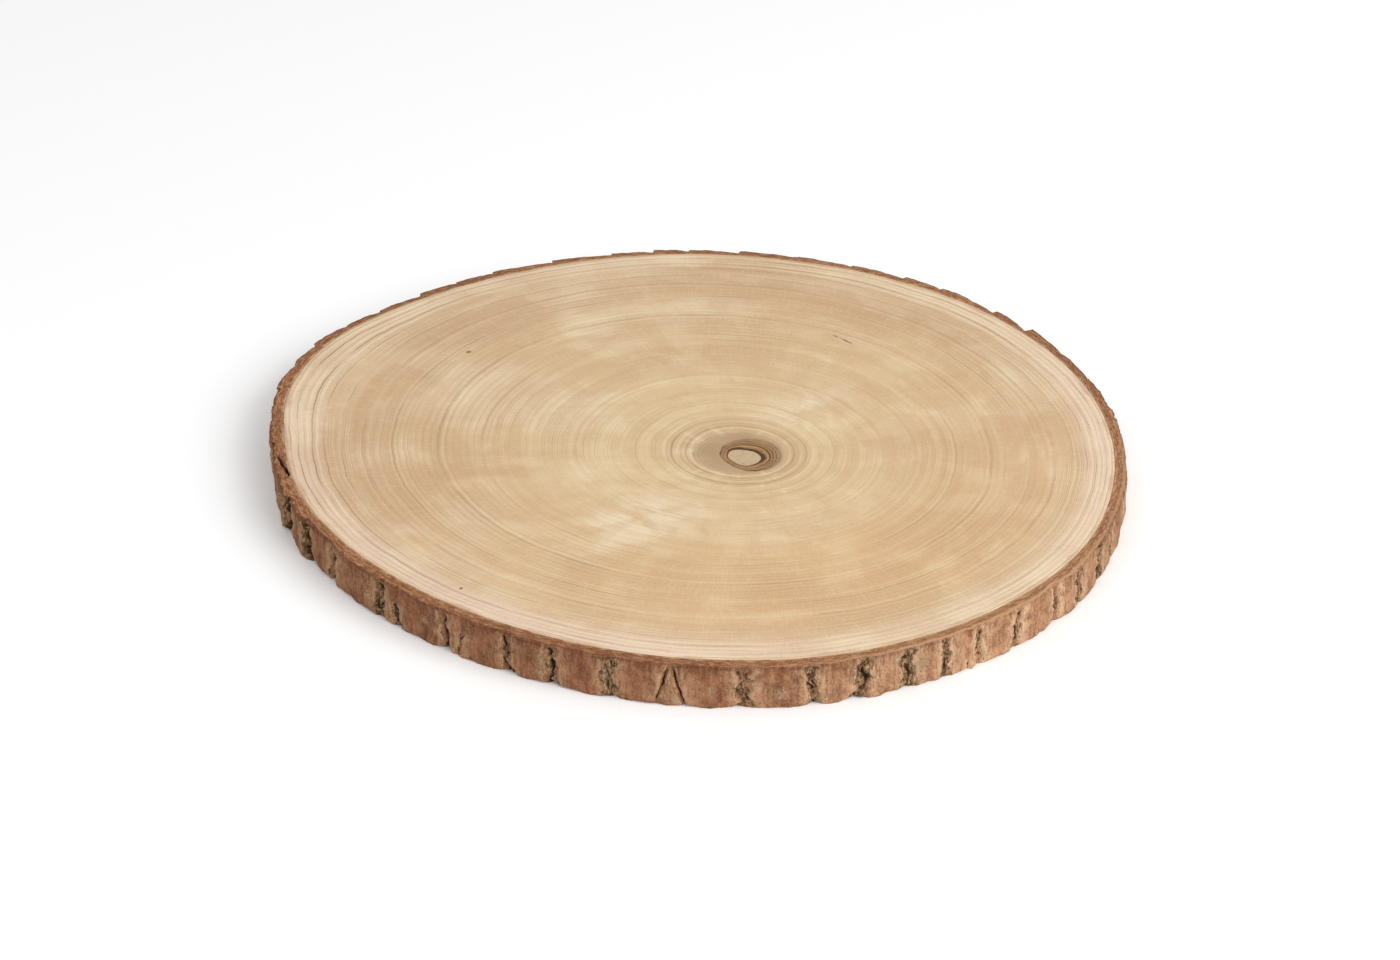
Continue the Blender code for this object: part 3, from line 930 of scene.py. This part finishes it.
def stain_at(x, y):
    """Sum of the soft stains; each is stretched along the rings round the pith."""
    total = np.zeros_like(x)
    pith_x, pith_y = PITH[0] + CENTRE_X, PITH[1] + CENTRE_Y
    for *sizes, strength in STAINS:
        middle_x, middle_y, across, along = (size * MM for size in sizes)
        out_x, out_y = middle_x - pith_x, middle_y - pith_y
        length = math.hypot(out_x, out_y)
        out_x, out_y = out_x / length, out_y / length
        far = np.hypot(x - pith_x, y - pith_y) - length
        aside = (x - middle_x) * -out_y + (y - middle_y) * out_x
        patch = np.exp(-0.5 * ((far / across) ** 2 + (aside / along) ** 2))
        this_side = ((x - PITH[0]) * out_x + (y - PITH[1]) * out_y) / 0.01
        total += strength * patch * smoothstep(-1.0, 1.0, this_side)
    return total


def blush_at(share, angles):
    total = np.zeros_like(share)
    for middle, reach, strength in BLUSHES:
        away = degrees_away(np.degrees(angles), middle) / reach
        total += strength * np.exp(-0.5 * away ** 2)
    return np.clip(total, 0.0, 1.0) * smoothstep(0.90, 0.95, share)


def warmth_at(share, angles):
    """Where the wood is more orange: between the pith and the front edge."""
    away = degrees_away(np.degrees(angles), 290.0) / 42.0
    band = smoothstep(0.38, 0.55, share) * smoothstep(0.92, 0.80, share)
    return np.exp(-0.5 * away ** 2) * band


def disc_dip(share, x, y, pith_distance):
    """How far the sawn face lies below its highest plane."""
    waves = 0.00005 * (1.5 + wave_sum(y + 0.9 * x * x, 5, (0.013, 0.007, 0.0041)))
    plug = PLUG_DEPTH * smoothstep(1.05, 0.75, pith_distance / PITH_PLUG)
    groove = 0.00035 * bell((pith_distance - PITH_PLUG) / 0.0009)
    rings = np.zeros_like(share)
    for middle, half_width, dark in DARK_RINGS:
        rings += 0.00012 * dark * bell((share - middle) / half_width)
    return waves + plug + groove + rings


def ring_shares(count, bevel):
    """Shares of the way from the pith to the bevel, closer together round the pith."""
    steps = np.linspace(0.0, 1.0, count + 1)[1:]
    return np.append((steps ** 1.25)[:-1], 1.0 - bevel)


def make_wood(material):
    angles = np.arange(WOOD_COLUMNS) * 2.0 * math.pi / WOOD_COLUMNS
    edge = edge_from_pith(angles)
    young = round_outline(edge)
    points, uvs, faces = [], [], []
    masks = {"stain": [], "blush": [], "warm": []}

    def add_rings(shares, height, direction):
        """Rings of points on one sawn face; gives each ring's first point."""
        starts = []
        for share in shares:
            x = PITH[0] + share * edge * np.cos(angles)
            y = PITH[1] + share * edge * np.sin(angles)
            grown = np.minimum(growth_share(np.full_like(edge, share), edge, young), 1.02)
            z = height + direction * disc_dip(grown, x, y, share * edge)
            starts.append(len(points))
            points.extend(zip(x + CENTRE_X, y + CENTRE_Y, z))
            uvs.extend(zip(grown * np.cos(angles), grown * np.sin(angles)))
            masks["stain"].extend(stain_at(x + CENTRE_X, y + CENTRE_Y))
            masks["blush"].extend(blush_at(grown, angles))
            masks["warm"].extend(warmth_at(grown, angles))
        return starts

    def add_middle(height):
        points.append((PITH[0] + CENTRE_X, PITH[1] + CENTRE_Y, height))
        uvs.append((0.0, 0.0))
        for values in masks.values():
            values.append(0.0)
        return len(points) - 1

    bevel = EDGE_BEVEL / edge.mean()
    top = add_rings(ring_shares(TOP_RINGS, bevel), THICKNESS, -1.0)
    side = add_rings([1.0], THICKNESS - EDGE_BEVEL, -1.0)
    side += add_rings([1.0], EDGE_BEVEL, 1.0)
    under = add_rings(ring_shares(UNDER_RINGS, bevel)[::-1], 0.0, 1.0)
    rings = top + side + under
    for first, second in zip(rings, rings[1:]):
        faces.extend(ring_faces(second, first, WOOD_COLUMNS))
    top_middle = add_middle(THICKNESS - PLUG_DEPTH)
    under_middle = add_middle(PLUG_DEPTH)
    for column in range(WOOD_COLUMNS):
        after = (column + 1) % WOOD_COLUMNS
        faces.append((top_middle, top[0] + column, top[0] + after))
        faces.append((under_middle, under[-1] + after, under[-1] + column))
    item = add_mesh_object("wood_disc", points, faces, masks, uvs)
    item.data.materials.append(material)
    return item


# The bark

FISSURE_SPREAD = 1.6
FISSURE_LINES = (0.13, 0.26, 0.40, 0.54, 0.69, 0.84, 1.0)
PLATE_SPACING = 0.00125
BACK_ROUGHNESS = 2.2
WALL_ROWS = 36
CORNER = 0.0007
FOOT = 0.0016
RIM_RINGS = 9
UNDER_BARK_RINGS = 3
INNER_GAP = 0.00006

# How far one degree is along the bark.
DEGREE_LENGTH = 0.0034


def bark_thickness(degrees):
    return BARK_MEAN - BARK_FRONT_EXTRA * np.sin(np.radians(degrees))


def back_share(degrees):
    """1 round the back, where the bark is rougher and notched right up to the rim."""
    turn = np.asarray(degrees, float) % 360.0
    return smoothstep(10.0, 35.0, turn) * smoothstep(212.0, 194.0, turn)


def plate_roughness(fissure):
    """How rough the plate after a fissure is: 1 at the front, and more round the back."""
    return 1.0 + BACK_ROUGHNESS * float(back_share(fissure.degrees + 3.0))


class FissurePath:
    """A fissure at every height: its middle, its two ragged sides, its depth and its cracks."""

    def __init__(self, fissure, heights, turns):
        level = heights / THICKNESS
        span = math.degrees(1.0 / float(wood_radius(fissure.degrees)))

        def waves(number, periods):
            return wave_sum(heights, fissure.seed + number, periods)

        bow = fissure.bow * (1.0 - (2.0 * level - 1.0) ** 2)
        stray = min(0.0005, 0.15 * fissure.width) * waves(0, (0.011, 0.005, 0.0027))
        path = fissure.lean * (0.5 - level) + bow + stray
        self.middle = fissure.degrees + 360.0 * turns + path * span
        half = 0.5 * FISSURE_SPREAD * fissure.width
        half = half * (1.0 + 0.45 * np.clip(1.0 - 2.0 * level, 0.0, 1.0) ** 3)
        reach = smoothstep(fissure.low - 0.06, fissure.low + 0.10, level)
        reach = reach * smoothstep(fissure.high + 0.06, fissure.high - 0.10, level)
        ragged = (0.008, 0.0036, 0.0017)
        self.before = half * (1.0 + 0.32 * waves(1, ragged)) * span
        self.after = half * (1.0 + 0.32 * waves(2, ragged)) * span
        rim = smoothstep(1.0, 0.76, level)
        notch = 0.12 + (0.1 + 0.8 * (fissure.seed % 97) / 97.0) * float(back_share(fissure.degrees))
        self.depth = fissure.depth * (notch + (1.0 - notch) * rim) * (0.08 + 0.92 * reach)
        self.depth = self.depth * (0.9 + 0.2 * waves(3, (0.007, 0.003)))
        self.crack = 0.24 * waves(4, (0.012, 0.0042, 0.002)) - 0.5 * fissure.twin / half
        self.gape = 0.17 + 0.08 * waves(8, (0.009, 0.004))
        self.twin = self.crack + fissure.twin / half + 0.15 * waves(5, (0.006, 0.002))
        shut = -0.5 if fissure.dark < 0.95 else -1.1
        open_share = smoothstep(shut - 0.3, shut + 0.5, waves(6, (0.012, 0.005, 0.0024)))
        self.open = open_share * reach * smoothstep(0.97, 0.88, level)
        twinned = 1.0 if fissure.twin else 0.0
        broken = smoothstep(-0.5, 0.2, waves(7, (0.010, 0.004)))
        self.twin_open = twinned * broken * reach * smoothstep(0.95, 0.84, level)
        self.fissure = fissure
        self.reach = reach

    def section(self, across):
        """Depth and painted shade at one place across the fissure, from -1 to 1."""
        bowl = 1.0 - abs(across) ** 2.4
        main = bell((across - self.crack) / self.gape) * self.open
        twin = bell((across - self.twin) / 0.14) * self.twin_open
        crack = np.maximum(main, 0.85 * twin)
        cut = self.depth * (0.42 * bowl + 0.58 * crack)
        wide = bell((across - self.crack) / (1.3 * self.gape)) * self.open
        wide = np.maximum(wide, 0.9 * bell((across - self.twin) / 0.18) * self.twin_open)
        dark = self.fissure.dark * wide + 0.16 * bowl * self.reach
        return cut, dark * np.clip(self.depth / 0.0016, 0.0, 1.0)


def wall_columns():
    """For each upright line of the bark: which plate it is on, and where on it."""
    columns = []
    for index, start in enumerate(FISSURES):
        end = FISSURES[(index + 1) % len(FISSURES)]
        columns.append((index, "start", 0.0))
        for across in FISSURE_LINES:
            columns.append((index, "start", across))
        degrees = (end.degrees - start.degrees) % 360.0
        arc = math.radians(degrees) * float(wood_radius(start.degrees + 0.5 * degrees))
        width = arc - 0.5 * FISSURE_SPREAD * (start.width + end.width)
        count = max(2, round(width / PLATE_SPACING))
        for step in range(1, count):
            columns.append((index, "plate", step / count))
        for across in reversed(FISSURE_LINES):
            columns.append((index, "end", -across))
    return columns


class Plate:
    """One plate of bark between two fissures: its tilt, crown, grooves and tone."""

    def __init__(self, draw):
        self.step = draw.uniform(-1.0, 1.0) * 0.0008
        self.lift = draw.uniform(-0.6, 0.7) * 0.0004
        self.crown = draw.uniform(0.3, 1.0) * 0.0006
        self.tone = draw.uniform(-1.0, 1.0)
        self.seed = draw.randrange(10000)
        self.grooves = []
        for _ in range(draw.choice((1, 1, 2, 2, 3))):
            place = draw.uniform(0.15, 0.85)
            width = draw.uniform(0.04, 0.09)
            depth = draw.uniform(0.0003, 0.0008)
            low = draw.uniform(-0.3, 0.6)
            self.grooves.append((place, width, depth, low, low + draw.uniform(0.35, 1.0)))

    def relief(self, share, heights, rough):
        """Height of the plate's face over the mean wall and depth of its grooves, at one line."""
        level = heights / THICKNESS
        tilt = abs(self.step) + 0.0003 if rough > 1.5 else self.step
        rise = rough * (self.lift + tilt * (share - 0.5)) + 0.0002 * (rough - 1.0)
        rise = rise + self.crown * (1.0 - (2.0 * share - 1.0) ** 4)
        cut = np.zeros_like(heights)
        for number, (place, width, depth, low, high) in enumerate(self.grooves):
            path = place + 0.05 * wave_sum(heights, self.seed + number, (0.012, 0.005))
            reach = smoothstep(low - 0.1, low + 0.1, level) * smoothstep(high + 0.1, high - 0.1, level)
            cut = cut + depth * reach * bell((share - path) / width)
        swell = 0.00022 * wave_sum(heights + 0.004 * share, self.seed + 7, (0.011, 0.006))
        return rise - cut + swell, cut


def corner_setback(heights, degrees):
    """The wall's rounded upper and lower corners, chipped unevenly."""
    chip = 1.0 + 0.7 * wave_sum(degrees * DEGREE_LENGTH, 31, (0.021, 0.009, 0.005, 0.0028))
    top = np.clip((heights - (THICKNESS - CORNER)) / CORNER, 0.0, 1.0)
    foot = np.clip((FOOT - heights) / FOOT, 0.0, 1.0)
    return 0.00045 * chip * top ** 2 + 0.0009 * chip * foot ** 2


def wall_heights():
    """Heights up the wall, with rows close together at its two corners."""
    body = np.linspace(FOOT, THICKNESS - CORNER, WALL_ROWS)
    foot = np.array((0.0, 0.0004, 0.0010))
    top = THICKNESS - np.array((0.00035, 0.00012, 0.0))
    return np.concatenate((foot, body, top))


def bark_wall():
    """Degrees, radius and surface masks of the outer wall, as [column][height] grids."""
    draw = random.Random(BARK_SEED)
    plates = [Plate(draw) for _ in FISSURES]
    heights = wall_heights()
    columns = wall_columns()
    paths = [FissurePath(fissure, heights, 0) for fissure in FISSURES]
    paths.append(FissurePath(FISSURES[0], heights, 1))
    for left, right in zip(paths, paths[1:]):
        room = np.maximum(0.45 * (right.middle - left.middle), 0.01)
        left.after = np.minimum(left.after, room)
        right.before = np.minimum(right.before, room)
    degrees = np.zeros((len(columns), len(heights)))
    radius = np.zeros_like(degrees)
    masks = {key: np.zeros_like(degrees) for key in ("crevice", "crust", "margin_highlight", "tone")}
    for number, (index, kind, value) in enumerate(columns):
        plate = plates[index]
        rough = plate_roughness(FISSURES[index])
        start, end = paths[index], paths[index + 1]
        if kind == "plate":
            first, last = start.middle + start.after, end.middle - end.before
            angle = first + (last - first) * value
            relief, cut = plate.relief(value, heights, rough)
            relief = relief + start.fissure.lift
            # Painted shade in the plate's grooves
            masks["crevice"][number] = np.clip(cut / 0.0008, 0.0, 1.0) * 0.45
            beside = value * (last - first)
            beyond = (1.0 - value) * (last - first)
            crust = start.fissure.crust * np.exp(-beside / 0.16) * start.reach
            crust = np.maximum(crust, end.fissure.crust * np.exp(-beyond / 0.16) * end.reach)
            masks["crust"][number] = crust * 0.6
            # Painted highlight on the raised plate edges next to each fissure
            margin_highlight = np.exp(-beside / 0.95) * start.reach
            masks["margin_highlight"][number] = np.maximum(margin_highlight, np.exp(-beyond / 0.70) * end.reach)
        else:
            path = start if kind == "start" else end
            relief = plate.relief(0.0 if kind == "start" else 1.0, heights, rough)[0]
            relief = relief + start.fissure.lift
            side = path.after if kind == "start" else path.before
            angle = path.middle + side * value
            if value == 0.0:
                before = FISSURES[index - 1]
                beside = plates[index - 1].relief(1.0, heights, plate_roughness(before))[0]
                relief = 0.5 * (relief + (beside + before.lift))
            cut, dark = path.section(value)
            relief = relief - cut
            # Painted shade in the fissure's crack
            masks["crevice"][number] = dark
            masks["crust"][number] = path.fissure.crust * (1.0 - 0.4 * abs(value) ** 3) * path.reach
            masks["margin_highlight"][number] = abs(value) * path.reach
        degrees[number] = angle
        wall = wood_radius(angle) + bark_thickness(angle) + relief
        radius[number] = wall - corner_setback(heights, angle)
        masks["tone"][number] = plate.tone
    return heights, degrees, radius, masks


def split_strength(degrees):
    """1 along the split between bark and wood, and 0 elsewhere."""
    inside = smoothstep(SPLIT_START - 0.5, SPLIT_START + 0.4, degrees)
    return inside * smoothstep(SPLIT_END + 0.8, SPLIT_END - 0.4, degrees)


def rim_shares(degrees):
    """How far out each ring of the sawn rim lies; round the split one ring follows it."""
    even = np.linspace(1.0, 0.0, RIM_RINGS + 1)
    middle = RIM_RINGS // 2
    progress = np.clip((degrees - SPLIT_START) / (SPLIT_END - SPLIT_START), 0.0, 1.0)
    wander = 0.04 * wave_sum(degrees * DEGREE_LENGTH, 51, (0.008, 0.0035))
    route = 0.80 - 0.66 * progress ** 0.7 + wander
    strength = split_strength(degrees)
    shares = np.zeros((RIM_RINGS + 1, len(degrees)))
    for ring in range(RIM_RINGS + 1):
        if ring == middle - 1:
            warped = route + np.minimum(0.13, 0.5 * (1.0 - route))
        elif ring == middle + 1:
            warped = route - np.minimum(0.13, 0.5 * route)
        elif ring <= middle:
            warped = 1.0 - (1.0 - route) * ring / middle
        else:
            warped = route * (RIM_RINGS - ring) / (RIM_RINGS - middle)
        shares[ring] = even[ring] + (warped - even[ring]) * strength
    return shares


def make_bark_cage():
    """The bark as a closed ring: its rough wall, sawn rim, inner wall and underside."""
    heights, degrees, radius, wall_masks = bark_wall()
    columns = degrees.shape[0]
    points = []
    keys = ("crevice", "crust", "margin_highlight", "tone", "wall", "across", "edge")
    masks = {key: [] for key in keys}
    starts = []

    def add_ring(angle, distance, height, **values):
        starts.append(len(points))
        turn = np.radians(angle)
        x = distance * np.cos(turn) + CENTRE_X
        y = distance * np.sin(turn) + CENTRE_Y
        points.extend(zip(x, y, np.broadcast_to(height, x.shape)))
        for key in keys:
            masks[key].extend(np.broadcast_to(values.get(key, 0.0), x.shape))

    for row, height in enumerate(heights):
        angle = degrees[:, row]
        along = angle * DEGREE_LENGTH
        sawn = row in (0, len(heights) - 1)
        # A painted shadow line just under the wall's top corner, broken along its length
        jag = wave_sum(along, 41, (0.03, 0.011, 0.0048, 0.0027))
        strength = smoothstep(-0.8, 0.4, wave_sum(along, 42, (0.04, 0.017, 0.008)))
        below_top = (THICKNESS - height - 0.0008 - 0.0005 * jag) / 0.00055
        edge = bell(below_top) * (0.25 + 0.6 * strength)
        values = {key: grid[:, row] for key, grid in wall_masks.items()}
        add_ring(angle, radius[:, row], height, wall=0.0 if sawn else 1.0, across=1.0,
                 edge=edge, **values)

    def add_sawn_face(row, height, shares, split):
        """Rings from the wall in to the wood; split is 1 on the face with the split in it."""
        angle = degrees[:, row]
        inner = wood_radius(angle) + INNER_GAP
        middle = (len(shares) - 1) // 2
        opened = split * split_strength(angle)
        for step in range(1, len(shares)):
            cut = opened * (1.0 if step == middle else 0.0)
            near = opened * (0.55 if abs(step - middle) == 1 else 0.0)
            fade = max(0.0, 1.0 - step / 2.0)
            distance = inner + (radius[:, row] - inner) * shares[step]
            # Painted shade in the split between bark and wood, and the fissures' painted shade fading in
            # from the wall
            add_ring(angle, distance, height - SPLIT_DEPTH * cut,
                     crevice=np.maximum(wall_masks["crevice"][:, row] * fade, cut + near),
                     across=shares[step], tone=wall_masks["tone"][:, row])

    top_row = len(heights) - 1
    add_sawn_face(top_row, THICKNESS, rim_shares(degrees[:, top_row]), 1.0)
    under_shares = np.linspace(1.0, 0.0, UNDER_BARK_RINGS + 1)
    add_sawn_face(0, 0.0, np.repeat(under_shares[:, None], columns, axis=1), 0.0)
    wall_and_rim = starts[:len(heights) + RIM_RINGS]
    ring_order = wall_and_rim + starts[-UNDER_BARK_RINGS:][::-1]
    faces = []
    for first, second in zip(ring_order, ring_order[1:] + ring_order[:1]):
        faces.extend(ring_faces(first, second, columns))
    return add_mesh_object("bark_ring", points, faces, masks)


# Relief and lichen, raised by geometry nodes

RELIEF_SEED = 0.37
LICHEN_ROUGHNESS = 0.0004


def named_float(maker, name):
    inputs = {"Name": name}
    return maker.node("GeometryNodeInputNamedAttribute", inputs, data_type="FLOAT")["Attribute"]


def paint(maker, geometry, given):
    inputs = {"Geometry": geometry, "Material": given["Material"]}
    return maker.give(Geometry=maker.node("GeometryNodeSetMaterial", inputs)[0])


def make_relief_tree():
    """Lumps, upright fibres and crumbled crust, raised on the bark's outer wall."""
    maker, given = new_tree("bark relief", "GeometryNodeTree", {
        "Geometry": GEOMETRY, "Lump Relief": 0.0005, "Lump Size": 0.007, "Fibre Relief": 0.0004,
        "Fibre Width": 0.0016, "Fibre Length": 0.012, "Crumb Relief": 0.0004,
        "Crumb Size": 0.0022, "Rim Relief": 0.00012, "Seed": 0.0, "Material": MATERIAL,
    }, ("Geometry",))
    place = maker.node("GeometryNodeInputPosition")[0]
    shifted = place + maker.combine(0.0, 0.0, given["Seed"])
    x, y, z = maker.separate(shifted)
    width = given["Fibre Width"]
    fibre_place = maker.combine(x / width, y / width, z / given["Fibre Length"])
    fibre = maker.noise(fibre_place, 1.0, 3.0, 0.6) - 0.5
    lump = maker.noise(shifted, 1.0 / given["Lump Size"], 2.0, 0.5) - 0.5
    crumb = maker.noise(shifted, 1.0 / given["Crumb Size"], 3.0, 0.65)
    rough = maker.math("MULTIPLY_ADD", named_float(maker, "crust"), 1.6, 0.35)
    crumb_rise = maker.line(crumb, 0.30, 0.70, -0.5, 0.5) * rough
    amount = (fibre * given["Fibre Relief"] + lump * given["Lump Relief"]) * 2.4
    amount = (amount + crumb_rise * given["Crumb Relief"]) * named_float(maker, "wall")
    outward = maker.vector("NORMALIZE", place * (1.0, 1.0, 0.0))
    push = outward * maker.combine(amount, amount, 0.0)
    sawn = 1.0 - named_float(maker, "wall")
    upper = maker.step(z, 0.5 * THICKNESS + RELIEF_SEED, THICKNESS - 0.001 + RELIEF_SEED)
    dip = crumb * sawn * upper * (given["Rim Relief"] * -1.0)
    kept = maker.node("GeometryNodeStoreNamedAttribute", {
        "Geometry": given["Geometry"], "Name": "crumb", "Value": crumb,
    }, data_type="FLOAT", domain="POINT")
    moved = maker.node("GeometryNodeSetPosition", {
        "Geometry": kept[0], "Offset": push + maker.combine(0.0, 0.0, dip),
    })
    return paint(maker, moved[0], given)


def make_lichen_tree():
    """Crumbs of lichen scattered where the bark's attribute says, sunk into it."""
    maker, given = new_tree("lichen crumbs", "GeometryNodeTree", {
        "Geometry": GEOMETRY, "Crumbs per Square Metre": 400000.0, "Least Size": 0.0002,
        "Greatest Size": 0.0006, "Flatness": 0.5, "Seed": 0, "Material": MATERIAL,
    }, ("Geometry",))
    scatter = maker.node("GeometryNodeDistributePointsOnFaces", {
        "Mesh": given["Geometry"], "Seed": given["Seed"],
        "Density": named_float(maker, "lichen") * given["Crumbs per Square Metre"],
    }, distribute_method="RANDOM")
    crumb = maker.node("GeometryNodeMeshIcoSphere", {"Radius": 1.0, "Subdivisions": 1})
    size = maker.node("FunctionNodeRandomValue", {
        2: given["Least Size"], 3: given["Greatest Size"], "Seed": given["Seed"],
    }, data_type="FLOAT")[1]
    placed = maker.node("GeometryNodeInstanceOnPoints", {
        "Points": scatter["Points"], "Instance": crumb["Mesh"], "Rotation": scatter["Rotation"],
        "Scale": maker.combine(size, size, size * given["Flatness"]),
    })
    real = maker.node("GeometryNodeRealizeInstances", {0: placed[0]})
    position = maker.node("GeometryNodeInputPosition")[0]
    lump = maker.node("ShaderNodeTexNoise", {"Vector": position, "Scale": 1500.0},
                      noise_dimensions="3D")["Color"]
    moved = maker.node("GeometryNodeSetPosition", {
        "Geometry": real[0], "Offset": (lump - (0.5, 0.5, 0.5)) * ((LICHEN_ROUGHNESS,) * 3),
    })
    smooth = maker.node("GeometryNodeSetShadeSmooth", {0: moved[0]})
    return paint(maker, smooth[0], given)


def run_tree(item, tree, values, name=None):
    """Run a geometry tree on an object and keep its result as a plain mesh."""
    modifier = item.modifiers.new(tree.name, "NODES")
    modifier.node_group = tree
    for socket in tree.interface.items_tree:
        if socket.item_type == "SOCKET" and socket.in_out == "INPUT" and socket.name in values:
            modifier[socket.identifier] = values[socket.name]
    bpy.context.view_layer.update()
    evaluated = item.evaluated_get(bpy.context.evaluated_depsgraph_get())
    mesh = bpy.data.meshes.new_from_object(evaluated)
    item.modifiers.remove(modifier)
    if name is None:
        item.data = mesh
        return item
    mesh.name = name
    return new_object(name, mesh)


def read_points(mesh):
    places = np.zeros(len(mesh.vertices) * 3, np.float32)
    mesh.vertices.foreach_get("co", places)
    return places.reshape(-1, 3)


def read_float(mesh, name):
    values = np.zeros(len(mesh.vertices), np.float32)
    mesh.attributes[name].data.foreach_get("value", values)
    return values


def keep_in_box(item):
    """No point of a piece stands outside the CAD model's box."""
    inset = 0.00002 * np.array((1, 1, 0), np.float32)
    low = np.array(cad_box[0], np.float32) + inset
    high = np.array(cad_box[1], np.float32) - inset
    item.data.vertices.foreach_set("co", np.clip(read_points(item.data), low, high).ravel())
    item.data.update()


def add_wall_masks(item):
    """Where lichen grows on the bark, and where the bark is dry."""
    mesh = item.data
    x, y, height = read_points(mesh).T
    degrees = np.degrees(np.arctan2(y - CENTRE_Y, x - CENTRE_X)) % 360.0
    pale = np.zeros_like(height)
    for fissure in FISSURES:
        away = degrees_away(degrees, fissure.degrees) / 0.9
        pale = np.maximum(pale, 0.7 * fissure.pale * bell(away))
    lichen = pale * smoothstep(0.25, 0.8, read_float(mesh, "crust"))
    for middle, level, around, up in LICHEN_PATCHES:
        away = degrees_away(degrees, middle) / around
        lichen = np.maximum(lichen, np.exp(-away ** 2 - ((height - level) / up) ** 2))
    lichen = smoothstep(0.35, 0.75, lichen + 1.6 * (read_float(mesh, "crumb") - 0.5))
    lichen = lichen * smoothstep(0.5, 1.0, read_float(mesh, "wall"))
    lichen = lichen * smoothstep(0.85, 0.45, read_float(mesh, "crevice"))
    lichen = lichen * smoothstep(0.0003, 0.0012, height)
    lichen = lichen * smoothstep(THICKNESS - 0.0008, THICKNESS - 0.0026, height)
    dry = 0.18 + 0.12 * wave_sum(degrees * DEGREE_LENGTH, 61, (0.2, 0.07))
    for middle, reach, strength in DRY_BARK:
        away = degrees_away(degrees, middle) / reach
        dry = np.maximum(dry, strength * np.exp(-0.5 * away ** 2))
    add_float(mesh, "lichen", lichen)
    add_float(mesh, "dry", np.clip(dry, 0.0, 1.0))


def make_bark(material):
    bark = run_tree(make_bark_cage(), make_relief_tree(), {
        "Lump Relief": 0.00042,
        "Lump Size": 0.0070,
        "Fibre Relief": 0.00030,
        "Fibre Width": 0.0018,
        "Fibre Length": 0.011,
        "Crumb Relief": 0.00060,
        "Crumb Size": 0.0021,
        "Rim Relief": 0.00022,
        "Seed": RELIEF_SEED,
        "Material": material,
    })
    keep_in_box(bark)
    add_wall_masks(bark)
    return bark


def make_lichen(bark, material):
    lichen = run_tree(bark, make_lichen_tree(), {
        "Crumbs per Square Metre": 650000.0,
        "Least Size": 0.00012,
        "Greatest Size": 0.00036,
        "Flatness": 0.45,
        "Seed": 5,
        "Material": material,
    }, "lichen_crumbs")
    lichen.data.materials.clear()
    lichen.data.materials.append(material)
    faces = len(lichen.data.polygons)
    lichen.data.polygons.foreach_set("material_index", np.zeros(faces, np.int32))
    keep_in_box(lichen)
    return lichen


# Stage, light and camera

CAMERA_TARGET = Vector((0.0024, -0.0413, THICKNESS))
CAMERA_DISTANCE = 1.476
CAMERA_ELEVATION = math.radians(29.5)
FLOOR_SIZE = 6.0


def make_floor():
    mesh = bpy.data.meshes.new("floor")
    signs = ((-1, -1), (1, -1), (1, 1), (-1, 1))
    corners = [(x * FLOOR_SIZE, y * FLOOR_SIZE, 0.0) for x, y in signs]
    mesh.from_pydata(corners, [], [(0, 1, 2, 3)])
    floor = new_object("floor", mesh)
    material, maker, shader = new_material("floor", 0.9)
    maker.put(shader, {
        "Base Color": (0.98, 0.98, 0.98),
        "Emission Color": (1.0, 1.0, 1.0),
        "Emission Strength": 0.05,
    })
    mesh.materials.append(material)


def add_softbox(name, place, size, power):
    """A soft light that faces the middle of the slice."""
    data = bpy.data.lights.new(name, "AREA")
    data.shape = "RECTANGLE"
    data.size, data.size_y = size
    data.energy = power
    light = new_object(name, data)
    light.location = place
    light.rotation_euler = (-Vector(place)).to_track_quat("-Z", "Y").to_euler()


def make_light():
    world = bpy.data.worlds.new("studio")
    bpy.context.scene.world = world
    world.use_nodes = True
    background = world.node_tree.nodes["Background"]
    background.inputs["Color"].default_value = (1.0, 1.0, 1.0, 1.0)
    background.inputs["Strength"].default_value = 0.66
    add_softbox("key", (1.75, -1.45, 1.65), (2.2, 1.6), 56.0)
    add_softbox("fill", (-1.2, -1.9, 1.5), (1.8, 1.2), 4.0)


def make_camera():
    data = bpy.data.cameras.new("camera")
    data.lens = 85.0
    data.sensor_width = 36.0
    camera = new_object("camera", data)
    back = Vector((0.0, -math.cos(CAMERA_ELEVATION), math.sin(CAMERA_ELEVATION)))
    camera.location = CAMERA_TARGET + back * CAMERA_DISTANCE
    camera.rotation_euler = (math.radians(90.0) - CAMERA_ELEVATION, 0.0, 0.0)
    bpy.context.scene.camera = camera


make_camera()
make_light()
make_floor()
bpy.context.scene.view_settings.view_transform = "Standard"

wood = make_wood(make_wood_material())
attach(wood, "root")
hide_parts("wood")

bark = make_bark(make_bark_material())
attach(bark, "root")
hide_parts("bark")

lichen = make_lichen(bark, make_lichen_material())
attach(lichen, "root")
